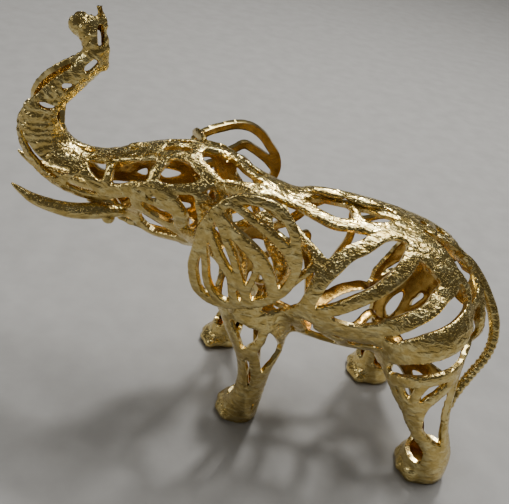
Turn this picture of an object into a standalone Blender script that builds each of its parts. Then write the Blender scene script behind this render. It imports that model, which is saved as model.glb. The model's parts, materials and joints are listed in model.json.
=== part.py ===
# Openwork elephant figurine: one hollow casting, pierced all over, standing on four feet.
# Metres, +Z up. The elephant looks along -X and its left side faces -Y.
import math

import bmesh
import bpy
import numpy as np
from mathutils import Matrix, Vector
from mathutils.bvhtree import BVHTree

# Driving sizes
HEIGHT = 0.237            # soles to the finger of the raised trunk
WALL = 0.0026             # thickness of the cast metal
EAR_WALL = 0.0030         # the ears stand free, so they are cast a little heavier
FILLET = 0.0012           # how far a web reaches into the corner between two straps
SKIN_CELL = 0.0024        # cell of the skin that the straps are cut from
SKIN_FACES = 1820         # triangles left on the pierced skin before it gets its wall
EAR_FACES = 230           # the same for each ear
FLAT_SOLE = 0.0006        # what is nearer the ground than this becomes the flat sole

# The pose is given in 237ths of the height
UNIT = HEIGHT / 237
CENTRE_X = -50            # near the middle of the length
SOLE_HEIGHT = 1.6         # the soles are cut off at this height of the pose

# Body masses: stations along each one as (x, y, z, radius)
MASSES = {
    "barrel": [(-64, 0, 131, 28), (-45, 0, 123, 40), (-20, 0, 116, 45), (10, 0, 114, 45.5),
               (39, 0, 112.5, 42.5), (56, 0, 108.5, 35.5), (62, 0, 105, 28)],
    "neck": [(-55, 0, 131, 31), (-72, 0, 139, 27), (-90, 0, 148, 28)],
    "head": [(-88, 0, 148, 28.5), (-104, 0, 150, 26.5), (-122, 0, 148, 22.5), (-140, 0, 145, 17)],
    "jaw": [(-96, 0, 131, 20), (-108, 0, 126, 16.5), (-120, 0, 123, 12), (-134, 0, 123, 8)],
    "trunk": [(-134, 0, 145, 17), (-152, 0, 141.5, 16.5), (-168, 0, 143.5, 16), (-181, 0, 152, 15),
              (-186.5, 0, 167, 14), (-183, 0, 182, 12.8), (-172, 0, 196, 10.8), (-159.5, 0, 206, 8.6),
              (-152.5, 0, 215, 7.0), (-156, 0, 223.5, 6.4), (-164, 0, 228.5, 7.4)],
    "finger": [(-150, 0, 208, 3.8), (-150, 0, 222, 3.8), (-151, 0, 233, 3.6), (-155, 0, 246, 3.0)],
}
# Legs of the left side; the right ones are the same legs swung forward by LEG_SWING
LEGS = {
    "fore": [(-52, -22, 104, 23), (-45, -26, 82, 21), (-41, -28, 66, 15.5), (-41, -28, 50, 11.5),
             (-41, -25.5, 32, 10.5), (-44, -24.5, 14, 12), (-45, -21, 0, 12.5)],
    "hind": [(47, -22, 104, 31), (52, -31, 82, 25), (60, -36, 58, 17.5), (71.5, -37.5, 34, 14),
             (78, -37, 15, 15), (77, -36, 0, 15)],
}
LEG_SWING = {"fore": -22, "hind": -33}
LEG_SPREAD = {"fore": 20, "hind": 5}     # the right feet also stand this much further out
SWING_TOP, SWING_FOOT = 100, 25     # heights between which a leg swings out
FEET = {"fore": (-45, -21, 5), "hind": (77, -36, 5)}
FOOT_CLOSED = {"fore": 19.0, "hind": 21.5}           # all of the skin this near a foot's centre is closed
FOOT_SQUASH = 1.25        # the closed part is this much lower than it is wide
TOES = 4
TOE = {"fore": (12.5, 5.0), "hind": (14.5, 5.6)}     # reach from the foot's centre, radius
TOE_SPREAD = 35           # degrees between neighbouring toes

# Straps as points near the skin, with half widths at the start, middle and end.
# Each one is drawn onto the skin.
# Straps of the left side and the middle, which are repeated on the right side
BODY_STRAPS = {
    "neck": ([(-86, -21, 166), (-78, -19, 164), (-66, -14, 163), (-48, -5, 161)], (3.4, 3.6, 4.6)),
    "shoulder": ([(-48, -6, 160), (-36, -8, 158), (-26, -14, 157), (-14, -18, 156), (-3, -16, 157),
                  (7, -15, 156)], (4.4, 3.8, 4.2)),
    "flank top": ([(7, -15, 156), (14, -12, 156), (22, -6, 156), (30, -4, 155)], (4.0, 4.0, 3.4)),
    "flank bridge": ([(12, -18, 155), (22, -14, 155), (31, -13, 153)], (3.2, 3.2, 4.2)),
    "loin": ([(24, 0, 157), (32, -12, 152), (39, -16, 149), (47, -14, 147)], (3.4, 5.0, 4.6)),
    "rump inner": ([(57, -17, 139), (65, -18, 129), (66, -24, 124), (61, -37, 123), (54, -45, 120),
                    (44, -49, 115), (33, -49, 106)], (2.3, 2.2, 2.4)),
    "rump middle": ([(75, 0, 126), (74, -8, 124), (71, -18, 121), (68, -27, 120), (61, -42, 118),
                     (53, -48, 114), (43, -51, 109), (31, -48, 100)], (2.4, 2.6, 3.0)),
    "rump outer": ([(61, 0, 141), (70, -3, 131), (76, -12, 121), (80, -17, 111), (81, -16, 99),
                    (77, -30, 98), (70, -42, 92)], (2.5, 2.8, 3.8)),
    "neck ridge": ([(-97, 0, 177), (-87, -1, 174), (-72, 0, 167), (-48, 0, 162)], (2.6, 2.4, 3.0)),
    "back ridge": ([(-50, 0, 163), (-20, 0, 161), (9, 0, 159), (27, 0, 156), (46, 0, 149), (60, 0, 140),
                    (76, 0, 126)], (3.0, 2.4, 2.2)),
    "breast": ([(-96, -12, 121), (-86, -10, 113), (-76, -12, 103), (-70, -24, 95),
                (-64, -32, 95)], (2.4, 2.4, 3.6)),
    "breast tie": ([(-79, -12, 104), (-80, 0, 105)], (2.4, 2.4, 2.4)),
    "neck side": ([(-86, -24, 158), (-74, -27, 145), (-63, -33, 128), (-55, -43, 106)], (2.4, 2.2, 3.0)),
    "girth": ([(-26, -42, 104), (-20, -34, 88), (-16, -18, 75), (-15, 0, 71)], (3.2, 3.0, 3.0)),
    "keel": ([(-46, 0, 82), (-30, 0, 74), (-15, 0, 71), (12, 0, 69), (30, 0, 70)], (2.4, 2.4, 2.4)),
    "flank tie": ([(-26, -38, 100), (-38, -20, 88), (-46, 0, 83)], (3.0, 2.6, 2.6)),
    "seat": ([(81, -14, 100), (83, 0, 98)], (2.2, 2.2, 2.2)),
    "rib": ([(-1, -18, 156), (-4, -8, 160), (-6, 0, 161)], (2.6, 2.4, 2.4)),
    "rump low": ([(67, -33, 117), (62, -43, 111), (50, -51, 106), (40, -51, 101),
                  (31, -48, 94)], (3.4, 4.8, 4.0)),
    "chest": ([(-73, -30, 97), (-61, -42, 101), (-49, -45, 100), (-38, -41, 98),
               (-27, -38, 98)], (4.4, 5.2, 4.4)),
}
# Straps of the left flank alone
LEFT_STRAPS = {
    "flank fall": ([(12, -18, 155), (3, -26, 150), (-5, -32, 147), (-11, -36, 140), (-16, -41, 133),
                    (-19, -43, 123), (-22, -42, 110)], (3.8, 5.0, 3.8)),
    "ear back": ([(-44, -14, 156), (-40, -21, 153), (-35, -25, 151), (-29, -30, 147),
                  (-21, -35, 142)], (2.2, 2.2, 3.8)),
    "elbow": ([(-20, -36, 140), (-27, -40, 132), (-35, -42, 121), (-44, -42, 111),
               (-50, -43, 101)], (2.2, 2.2, 2.8)),
    "belly": ([(-23, -42, 110), (-13, -43, 105), (1, -42, 100), (16, -41, 97), (28, -46, 101),
               (37, -49, 102)], (3.6, 4.6, 3.0)),
    "belly low": ([(-12, -42, 99), (4, -36, 88), (13, -33, 84), (21, -36, 87),
                   (28, -43, 92)], (2.4, 3.0, 3.2)),
    "leaf": ([(32, -13, 152), (29, -24, 147), (24, -33, 141), (19, -37, 136), (13, -41, 131),
              (3, -43, 123), (-8, -44, 115), (-19, -43, 108)], (5.0, 4.1, 3.8)),
    "haunch": ([(30, -8, 154), (42, -12, 150), (52, -18, 142), (55, -24, 136), (50, -31, 133),
                (44, -40, 128), (35, -44, 121), (24, -44, 111), (10, -43, 104), (-2, -43, 104),
                (-11, -43, 107)], (5.0, 4.5, 4.6)),
    "belly tie": ([(4, -38, 90), (10, -22, 75), (12, 0, 69)], (3.6, 3.2, 3.2)),
    "groin": ([(28, -42, 88), (34, -20, 76), (38, 0, 72)], (2.6, 2.6, 3.0)),
    "haunch plate": ([(25, -11, 155), (35, -14, 151), (45, -19, 145), (50, -22, 140)], (6.0, 8.4, 6.4)),
    "underside": ([(-27, -28, 80), (-18, -28, 80), (-10, -29, 79), (-3, -28, 78), (5, -30, 79),
                   (14, -34, 82), (24, -40, 86)], (3.6, 5.0, 4.6)),
    "shoulder plate": ([(-50, -24, 150), (-47, -30, 142), (-41, -35, 137), (-39, -38, 129),
                        (-43, -40, 119)], (2.8, 4.6, 3.4)),
    "ear inner": ([(-73, -27, 144), (-68, -27, 144), (-60, -25, 149), (-53, -21, 153),
                   (-44, -16, 156)], (2.6, 2.7, 2.7)),
}
# Straps of the right flank alone
RIGHT_STRAPS = {
    "elbow": ([(-12, 19, 156), (-17, 29, 148), (-21, 36, 139), (-27, 40, 132), (-35, 42, 121),
               (-44, 42, 111), (-50, 43, 101)], (2.6, 3.0, 2.8)),
    "flank": ([(10, 0, 158), (5, 22, 153), (1, 35, 142), (0, 42, 131), (2, 44, 121), (2, 44, 109),
               (-2, 41, 98), (-7, 34, 87), (-10, 24, 79), (-14, 0, 71)], (2.8, 2.6, 3.2)),
    "loin side": ([(40, 0, 152), (41, 24, 146), (40, 41, 130), (37, 49, 113), (33, 50, 102),
                   (29, 48, 94), (24, 44, 84), (15, 35, 79), (3, 28, 76), (-5, 20, 73),
                   (-14, 0, 71)], (3.2, 3.6, 3.6)),
    "arch": ([(1, 42, 127), (7, 43, 128), (13, 41, 132), (18, 37, 137), (24, 34, 141), (33, 30, 144),
              (41, 24, 146)], (1.6, 1.8, 2.4)),
    "rump side": ([(52, 8, 148), (56, 24, 138), (54, 42, 118), (50, 51, 100), (50, 51, 86), (53, 49, 69),
                   (51, 49, 54), (47, 51, 42)], (2.8, 4.2, 3.6)),
    "rump back": ([(55, 49, 83), (61, 43, 82), (68, 32, 88), (75, 30, 97)], (3.6, 3.2, 3.0)),
    "groin": ([(24, 44, 84), (32, 46, 72), (38, 46, 58), (42, 49, 46)], (2.4, 2.8, 3.2)),
    "hub": ([(53, 50, 96), (55, 49, 86), (55, 48, 74)], (4.4, 7.4, 4.8)),
    "snout plate": ([(-161, 14, 142), (-156, 13, 134)], (3.2, 3.4, 3.2)),
    "temple plate": ([(-154, 14, 135), (-140, 15, 137), (-124, 17, 136),
                      (-110, 19, 136)], (3.4, 3.4, 3.2)),
    "ring plate": ([(-114, 20, 136), (-105, 23, 139), (-102, 25, 144), (-106, 25, 149),
                    (-113, 23, 151)], (3.2, 4.8, 2.6)),
}
HEAD_STRAPS = {
    "forehead": ([(-150, -3, 160), (-137, -4, 163), (-127, -5, 166), (-117, -5, 170)], (4.2, 3.2, 3.0)),
    "crown": ([(-127, -3, 167), (-112, 0, 174), (-102, 0, 176), (-96, -4, 175), (-93, -13, 173),
               (-86, -19, 168)], (2.2, 2.0, 2.8)),
    "ring top": ([(-155, -5, 158), (-140, -7, 161), (-126, -9, 166), (-115, -10, 170), (-107, -9, 172),
                  (-98, -11, 173), (-92, -16, 171), (-84, -19, 169)], (3.0, 3.0, 3.3)),
    "ring front": ([(-112, -13, 168), (-115, -17, 165), (-116, -20, 159),
                    (-116, -22, 154)], (2.6, 2.7, 3.0)),
    "temple": ([(-167, -15, 149), (-158, -13, 152), (-148, -16, 146), (-136, -18, 147), (-125, -20, 153),
                (-115, -22, 155), (-105, -24, 158), (-94, -24, 161), (-85, -21, 165)], (2.8, 2.6, 3.4)),
    "cheek": ([(-112, -22, 156), (-106, -24, 153), (-102, -25, 149), (-98, -26, 143),
               (-97, -22, 131)], (3.6, 4.4, 4.4)),
    "eye": ([(-129, -20, 150), (-122, -22, 149), (-112, -23, 148), (-103, -25, 146)], (2.6, 3.7, 3.4)),
    "cheek low": ([(-125, -20, 142), (-116, -18, 134), (-107, -18, 131),
                   (-98, -21, 130)], (2.8, 3.3, 4.0)),
    "jaw": ([(-129, -10, 127), (-123, -11, 123), (-115, -11, 118), (-106, -14, 119), (-96, -17, 121),
             (-88, -12, 115)], (2.6, 3.0, 3.2)),
    "mouth": ([(-129, -20, 150), (-125, -21, 146), (-124, -19, 138), (-128, -10, 126)], (2.4, 2.4, 3.0)),
    "lip": ([(-152, -9, 131), (-140, -8, 126), (-134, -10, 126), (-126, -16, 135)], (2.8, 2.8, 2.8)),
    "throat": ([(-89, -23, 163), (-88, -27, 154), (-85, -27, 143), (-88, -22, 129),
                (-95, -21, 126)], (2.6, 2.4, 4.4)),
    "throat back": ([(-79, -21, 164), (-77, -24, 158), (-79, -27, 150),
                     (-83, -27, 138)], (3.2, 2.8, 3.6)),
    "snout ridge": ([(-171, -9, 160), (-162, -10, 156), (-165, -15, 148),
                     (-170, -14, 139)], (3.2, 2.6, 2.8)),
    "snout bar": ([(-144, -3, 161), (-142, -11, 157), (-142, -15, 151),
                   (-145, -16, 144)], (2.5, 2.2, 2.8)),
    "snout link": ([(-159, -8, 156), (-155, -13, 152), (-150, -15, 148),
                    (-147, -16, 143)], (2.8, 1.9, 2.6)),
    "snout edge": ([(-196, -7, 175), (-193, -7, 163), (-187, -10, 153), (-177, -13, 143),
                    (-166, -14, 138), (-156, -15, 136), (-147, -15, 136), (-138, -17, 142),
                    (-127, -20, 149)], (3.4, 3.2, 2.8)),
    "chin": ([(-152, -8, 131), (-147, -2, 125), (-134, 0, 115), (-120, 0, 112), (-104, 0, 110),
              (-94, -10, 112)], (2.4, 2.4, 2.8)),
    "trunk": ([(-165, -9, 155), (-179, -9, 166), (-183, -8, 181), (-174, -7, 194), (-164, -5, 205),
               (-153, -4, 214), (-156, -3, 224), (-163, -2, 230)], (10.0, 13.5, 10.0)),
}
LEG_STRAPS = {
    "fore": {
        "plate": ([(-72, -29, 96), (-60, -42, 99), (-50, -44, 99)], (4.4, 5.6, 4.6)),
        "front": ([(-64, -38, 90), (-57, -41, 78), (-53, -40, 66), (-49, -37, 52), (-47, -34, 32),
                   (-52, -32, 15)], (4.6, 3.8, 6.0)),
        "bridge": ([(-51, -44, 97), (-42, -42, 97), (-34, -38, 100), (-26, -41, 107)], (3.2, 2.6, 3.8)),
        "ring": ([(-48, -45, 95), (-38, -42, 94), (-30, -36, 84), (-26, -28, 70), (-29, -33, 63),
                  (-32, -36, 57), (-33, -34, 45), (-33, -31, 29), (-34, -27, 14)], (2.6, 2.9, 4.4)),
        "cross": ([(-41, -43, 94), (-40, -44, 85), (-44, -44, 76), (-50, -41, 67)], (2.8, 2.8, 3.5)),
        "mid": ([(-45, -44, 75), (-41, -42, 62), (-38, -37, 45), (-39, -34, 31),
                 (-42, -33, 16)], (3.4, 3.6, 5.0)),
        "inside": ([(-46, -8, 86), (-44, -14, 70), (-41, -17, 50), (-41, -16, 32),
                    (-45, -13, 14)], (3.2, 2.8, 5.0)),
        "crotch": ([(-46, -8, 86), (-46, 0, 83)], (3.0, 3.0, 3.0)),
    },
    "hind": {
        "band": ([(71, -41, 93), (56, -52, 89), (44, -53, 84), (34, -48, 77)], (3.6, 3.6, 4.2)),
        "front": ([(31, -47, 96), (27, -43, 88), (30, -43, 80), (35, -47, 73), (40, -49, 67),
                   (48, -51, 60), (54, -52, 52)], (3.8, 2.6, 3.6)),
        "slat": ([(36, -49, 82), (41, -51, 75), (46, -52, 68), (51, -52, 60)], (1.8, 1.8, 2.4)),
        "mid": ([(54, -53, 88), (51, -54, 78), (50, -53, 67), (53, -52, 55)], (2.4, 2.7, 3.0)),
        "cross": ([(72, -38, 90), (65, -49, 81), (59, -53, 73), (56, -53, 64),
                   (57, -52, 51)], (3.2, 3.4, 4.6)),
        "shin": ([(52, -51, 53), (62, -51, 43), (74, -50, 32), (78, -51, 18)], (3.4, 4.8, 8.0)),
        "heel": ([(76, -32, 92), (76, -38, 80), (76, -40, 70), (76, -43, 59), (78, -46, 48),
                  (82, -46, 36), (88, -42, 16)], (2.8, 2.6, 5.4)),
        "inside": ([(30, 0, 70), (37, -14, 73), (46, -16, 68), (58, -20, 52), (66, -25, 34),
                    (70, -25, 16)], (2.8, 2.8, 5.0)),
        "inside back": ([(46, -15, 68), (58, -15, 67), (68, -21, 66), (74, -32, 68),
                         (76, -38, 70)], (4.0, 4.4, 3.0)),
        "crotch": ([(46, -16, 68), (42, 0, 72)], (2.6, 2.6, 2.6)),
    },
}

# Openings cut into plates: points near the skin and half widths, each on its own side
HOLES = {
    "slot low": ([(-198, -4, 172), (-194, -4, 184), (-182, -4, 200)], (3.4, 5.4, 4.8)),
    "slot high": ([(-184, -4, 199), (-174, -3, 207), (-163, -2, 215)], (4.8, 4.4, 3.0)),
    "slit": ([(-181, -10, 185), (-174, -8, 183)], (1.5, 2.0, 1.5)),
    "slit right": ([(-189, 10, 174), (-180, 11, 173)], (3.0, 3.4, 3.0)),
    "round": ([(-168, -8, 196), (-165, -8, 196)], (2.2, 2.4, 2.2)),
    "round right": ([(-174, 9, 188), (-171, 9, 190)], (3.4, 3.6, 3.4)),
    "oblong": ([(-153, -6, 211), (-157, -6, 207)], (2.2, 2.3, 2.2)),
    "oblong right": ([(-156, 7, 206), (-161, 7, 201)], (3.2, 3.4, 3.2)),
    "tall": ([(-152, -3, 229), (-151, -4, 226), (-150, -5, 222)], (1.4, 2.0, 2.2)),
    "tall right": ([(-153, 6, 225), (-153, 6, 221), (-153, 6, 217)], (2.4, 2.8, 2.6)),
    "lozenge": ([(-178, -14, 151), (-172, -15, 149), (-165, -15, 150)], (1.6, 3.0, 1.6)),
    "lozenge right": ([(-181, 9, 141), (-173, 11, 138)], (3.0, 3.4, 3.0)),
    "nostril": ([(-170, 0, 229), (-165, 0, 234), (-162, 0, 241)], (4.4, 4.0, 1.6)),
}

# Bars that stand free of the skin: stations as (x, y, z, radius)
TUSK = [(-133, -8, 127, 2.4), (-140, -10, 128, 4.8), (-148, -13, 127.5, 5.2), (-157, -16, 126.5, 4.9),
        (-165, -17, 126.5, 4.4), (-174, -17, 127.5, 4.0), (-184, -17, 129, 3.2), (-191, -16, 132.5, 2.2),
        (-196, -16, 136, 0.6)]
TUSK_LEAD = -10           # the right tusk reaches this much further, for the head is turned a little
TUSK_RISE = 3             # and its tip stands this much higher
TAIL = [(56, 0, 142, 2.0), (64, 0, 140.5, 3.0), (74, -1, 131, 3.1), (83, -4, 120, 3.2), (91, -8, 108, 3.3),
        (94, -12, 96, 3.3), (93, -16, 86, 3.3), (88, -20, 76, 3.4), (81, -26, 64, 3.6), (77, -32, 54, 3.4),
        (77, -40, 44, 2.0)]

# Ears: the middle of each sheet, how far its back edge flares out, then the sheet itself
EAR_MIDDLE = {"left": (-59, 45, 142), "right": (-78, 41, 142)}
EAR_FLARE = {"left": 6, "right": 30}
EAR_HALF = 33, 40         # half length and half height of the sheet that the rim is cut from
EAR_DOME = 6              # bulge of the sheet
EAR_LEAN = 0.5            # share of the bulge that also lifts it
EAR_CELLS = 48
EAR_RIM = {
    "left": [(2, 33), (11, 32), (18, 27), (23, 20), (26, 11), (28, 2), (27, -8), (24, -17), (18, -24),
             (11, -29), (0, -34), (-9, -36), (-16, -35), (-22, -31), (-25, -23), (-26, -15), (-25, -7), (-24, 1),
             (-23, 9), (-19, 18), (-14, 26), (-7, 31)],
    "right": [(-29, 24), (-22, 27), (-13, 28), (-3, 29), (7, 27), (16, 21), (22, 14), (27, 8), (29, 1),
              (28, -7), (23, -17), (16, -25), (7, -30), (-3, -32), (-12, -29), (-19, -22), (-24, -13), (-27, -3),
              (-29, 8), (-30, 17)],
}
EAR_RIM_WIDTHS = 2.6, 2.8, 2.6
EAR_RIBS = {
    "left": [([(-20, 14), (-21, 1), (-19, -11), (-17, -23), (-13, -30), (-7, -35)], (2.0, 1.9, 2.2)),
             ([(-20, 11), (-14, -1), (-9, -9), (-4, -16), (-2, -25), (0, -33)], (2.2, 2.3, 2.5)),
             ([(-17, 21), (-10, 7), (-5, -2), (-1, -11), (2, -19), (7, -30)], (2.0, 2.0, 2.4)),
             ([(-17, 21), (-7, 12), (2, 6), (10, -1), (16, -10), (20, -21)], (2.6, 3.8, 3.0)),
             ([(-11, 28), (-2, 24), (7, 19), (14, 15), (21, 10), (26, 3)], (2.0, 2.2, 3.0)),
             ([(3, 4), (8, -2), (8, -11), (6, -21), (6, -30)], (2.0, 1.6, 1.9))],
    "right": [([(-28, 13), (-20, 11), (-8, 7), (0, 10), (6, 13), (14, 9), (22, 4),
               (28, -1)], (2.0, 2.4, 2.8)),
              ([(-28, 0), (-14, 1), (-3, 0), (5, 1), (13, -5), (18, -11), (22, -18)], (2.0, 3.4, 3.0)),
              ([(-24, -13), (-10, -15), (2, -23), (5, -31)], (2.2, 2.0, 2.4))],
}
# Straps from the head and the shoulder to an ear, flat bars as (x, y, z, half thickness)
BROAD = 1.2               # their half width over their half thickness, less one
EAR_ROOTS = [[(-82, -20, 164, 1.2), (-77, -23, 165, 1.8), (-71, -28, 168, 1.8), (-64, -34, 172, 1.7),
              (-56, -41, 173, 1.5), (-48, -46, 171, 1.4), (-42, -47, 166, 0.6)],
             [(-98, -20, 131, 1.0), (-92, -27, 133, 1.9), (-86, -37, 138, 1.9), (-81, -45, 146, 1.6),
              (-80, -46, 152, 0.6)],
             [(-62, -40, 98, 0.8), (-60, -43, 103, 1.9), (-59, -45, 108, 1.9), (-59, -46, 112, 0.6)],
             [(-94, 8, 173, 1.2), (-98, 15, 174, 1.8), (-102, 22, 172, 1.8), (-104, 27, 168, 0.9)],
             [(-97, 20, 140, 1.2), (-100, 24, 141, 1.9), (-104, 29, 142, 1.0)],
             [(-72, 34, 95, 0.8), (-74, 38, 101, 1.9), (-77, 42, 108, 1.9), (-77, 43, 112, 0.6)]]
# Raised leaves and knobs: centre, length width height, tilt
LEAVES = [((-21, 0, 162.5), (21, 7, 5), 2), ((-1, 0, 161.5), (24, 7, 5), 4),
          ((-124, 0, 167), (22, 6, 5), -4), ((-141, -12, 124), (8, 7, 8), 0)]


def mirrored(point, leg=None):
    """The right-hand twin of a point, swung forward below SWING_TOP where it is on a leg."""
    x, y, z = point[:3]
    share = min(1.0, max(0.0, (SWING_TOP - z) / (SWING_TOP - SWING_FOOT)))
    swing = LEG_SWING[leg] * share if leg else 0.0
    spread = LEG_SPREAD[leg] * share if leg else 0.0
    return (x + swing, spread - y, z) + tuple(point[3:])


def clear_scene():
    for ob in list(bpy.data.objects):
        bpy.data.objects.remove(ob, do_unlink=True)


def place(point):
    """A point of the pose, in metres."""
    return Vector((point[0] - CENTRE_X, point[1], point[2] - SOLE_HEIGHT)) * UNIT


def linked(name, mesh):
    ob = bpy.data.objects.new(name, mesh)
    bpy.context.scene.collection.objects.link(ob)
    return ob


def evaluated(ob, name):
    """The object with its modifiers taken into a mesh of its own."""
    depsgraph = bpy.context.evaluated_depsgraph_get()
    mesh = bpy.data.meshes.new_from_object(ob.evaluated_get(depsgraph))
    bpy.data.objects.remove(ob, do_unlink=True)
    return linked(name, mesh)


def tube_mesh(stations, steps=6, sides=6, broad=0.0):
    """A round or flattened bar through the stations."""
    curve = bpy.data.curves.new("bar", 'CURVE')
    curve.dimensions = '3D'
    curve.twist_mode = 'Z_UP'
    curve.extrude = broad
    curve.bevel_depth = 1.0
    curve.bevel_resolution = sides
    curve.use_fill_caps = True
    spline = curve.splines.new('NURBS')
    spline.points.add(len(stations) - 1)
    spline.order_u = min(4, len(stations))
    spline.use_endpoint_u = True
    spline.resolution_u = steps
    for knot, (x, y, z, radius) in zip(spline.points, stations):
        knot.co = (*place((x, y, z)), 1)
        knot.radius = radius * UNIT
    return evaluated(linked("bar", curve), "bar")


def all_masses():
    rows = list(MASSES.values())
    for leg, stations in LEGS.items():
        rows.append(stations)
        rows.append([mirrored(s, leg) for s in stations])
    return rows


def toes():
    """Balls round the front of each foot, as (centre, radius)."""
    balls = []
    for leg, (x, y, z) in FEET.items():
        reach, radius = TOE[leg]
        for n in range(TOES):
            angle = math.radians((n - (TOES - 1) / 2) * TOE_SPREAD)
            toe = (x - reach * math.cos(angle), y - reach * math.sin(angle), z)
            balls.append((toe, radius))
            balls.append((mirrored(toe, leg), radius))
    return balls


def skin_mesh(cell):
    """The elephant before piercing: its masses run together and smoothed."""
    bm = bmesh.new()
    balls = toes()
    for stations in all_masses():
        tube = tube_mesh(stations)
        bm.from_mesh(tube.data)
        bpy.data.objects.remove(tube, do_unlink=True)
        balls += [(end[:3], end[3]) for end in (stations[0], stations[-1]) if end[2] > 20]
    for centre, radius in balls:
        spot = Matrix.Translation(place(centre))
        bmesh.ops.create_uvsphere(bm, u_segments=24, v_segments=14, radius=radius * UNIT, matrix=spot)
    mesh = bpy.data.meshes.new("skin")
    bm.to_mesh(mesh)
    bm.free()
    ob = linked("skin", mesh)
    remesh = ob.modifiers.new("run together", 'REMESH')
    remesh.mode = 'VOXEL'
    remesh.voxel_size = cell
    smooth = ob.modifiers.new("smooth", 'SMOOTH')
    smooth.factor = 0.5
    smooth.iterations = round(12 * (0.0025 / cell) ** 2)
    ob = evaluated(ob, "skin")
    for v in ob.data.vertices:
        v.co.z = max(v.co.z, 0.0)
    return ob


def smooth_line(points, steps=6):
    """A Catmull-Rom curve through the points, as an array."""
    p = np.array(points, float)
    p = np.vstack([2 * p[0] - p[1], p, 2 * p[-1] - p[-2]])
    out = []
    for a, b, c, d in zip(p, p[1:], p[2:], p[3:]):
        for t in np.arange(steps) / steps:
            out.append(0.5 * (2 * b + (c - a) * t + (2 * a - 5 * b + 4 * c - d) * t ** 2
                              + (3 * b - 3 * c + d - a) * t ** 3))
    out.append(p[-2])
    return np.array(out)


def strap_rows():
    """Every strap of both sides, as (points, widths) in pose units."""
    rows = list(LEFT_STRAPS.values()) + list(RIGHT_STRAPS.values())
    groups = [(None, BODY_STRAPS), (None, HEAD_STRAPS)] + list(LEG_STRAPS.items())
    for leg, straps in groups:
        for points, widths in straps.values():
            rows.append((points, widths))
            if leg or any(p[1] for p in points):
                rows.append(([mirrored(p, leg) for p in points], widths))
    return rows


def drawn(points, widths, tree):
    """A strap as points on the skin with a half width at each, in metres."""
    line = smooth_line([place(p) for p in points])
    if tree is not None:
        line = np.array([tree.find_nearest(Vector(p))[0] for p in line])
    run = np.linspace(0, 1, len(line))
    width = np.interp(run, (0, 0.5, 1), widths) * UNIT
    return line, width


def strap_distance(co, line, width):
    """Distance from each point to the strap's edge: negative on the strap."""
    best = np.full(len(co), 1.0)
    reach = width.max() + 6 * FILLET
    near = ((co > line.min(0) - reach) & (co < line.max(0) + reach)).all(1)
    pts = co[near]
    if not len(pts):
        return best
    low = np.full(len(pts), 1.0)
    for a, b, wa, wb in zip(line, line[1:], width, width[1:]):
        ab = b - a
        t = np.clip(((pts - a) @ ab) / max(ab @ ab, 1e-12), 0, 1)
        gap = np.linalg.norm(pts - a - t[:, None] * ab, axis=1)
        low = np.minimum(low, gap - (wa + (wb - wa) * t))
    best[near] = low
    return best


def run_together(distances):
    """The smallest distance, with the corners between straps filled by a web."""
    total = np.zeros(len(distances[0]))
    for d in distances:
        total += np.exp(-np.clip(d, -0.05, 0.05) / FILLET)
    return -FILLET * np.log(np.maximum(total, 1e-300))


def body_field(co, tree):
    straps = [strap_distance(co, *drawn(p, w, tree)) for p, w in strap_rows()]
    for leg, foot in FEET.items():
        for centre in (foot, mirrored(foot, leg)):
            gap = (co - np.array(place(centre))) * (1, 1, FOOT_SQUASH)
            straps.append(np.linalg.norm(gap, axis=1) - FOOT_CLOSED[leg] * UNIT)
    metal = run_together(straps)
    for points, widths in HOLES.values():
        metal = np.maximum(metal, -strap_distance(co, *drawn(points, widths, tree)))
    return metal


def pierce(bm, field):
    """Keep the part of a sheet where the field is negative, cut along its zero line."""
    bmesh.ops.triangulate(bm, faces=bm.faces)
    bm.verts.index_update()
    value = field(np.array([v.co for v in bm.verts]))
    split = {}
    for e in bm.edges:
        a, b = (value[v.index] for v in e.verts)
        if a * b < 0:
            split[e] = float(np.clip(a / (a - b), 0.02, 0.98))
    layer = bm.verts.layers.float.new("field")
    for v in bm.verts:
        v[layer] = value[v.index]
    cut = bmesh.ops.bisect_edges(bm, edges=list(split), cuts=1, edge_percents=split)
    fresh = [g for g in cut["geom_split"] if isinstance(g, bmesh.types.BMVert)]
    for v in fresh:
        v[layer] = 0.0
    bmesh.ops.connect_verts(bm, verts=fresh)
    gone = [f for f in bm.faces if sum(v[layer] for v in f.verts) > 0]
    bmesh.ops.delete(bm, geom=gone, context='FACES')
    bm.verts.layers.float.remove(layer)
    bmesh.ops.triangulate(bm, faces=bm.faces)


def keep_largest(bm):
    """Drop the scraps that touch nothing."""
    left = set(bm.faces)
    groups = []
    while left:
        stack = [left.pop()]
        group = []
        while stack:
            f = stack.pop()
            group.append(f)
            for e in f.edges:
                for g in e.link_faces:
                    if g in left:
                        left.discard(g)
                        stack.append(g)
        groups.append(group)
    groups.sort(key=len)
    for group in groups[:-1]:
        bmesh.ops.delete(bm, geom=group, context='FACES')
    return [len(group) for group in groups]


def fans(v):
    """The boundary edges of each group of faces round a vertex, as (arriving, leaving)."""
    out = []
    for e in v.link_edges:
        if e.is_boundary and e.link_loops[0].vert is not v:
            face, edge = e.link_faces[0], e
            while True:
                edge = next(g for g in face.edges if g is not edge and v in g.verts)
                if edge.is_boundary:
                    break
                face = next(f for f in edge.link_faces if f is not face)
            out.append((e, edge))
    return out


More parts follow.
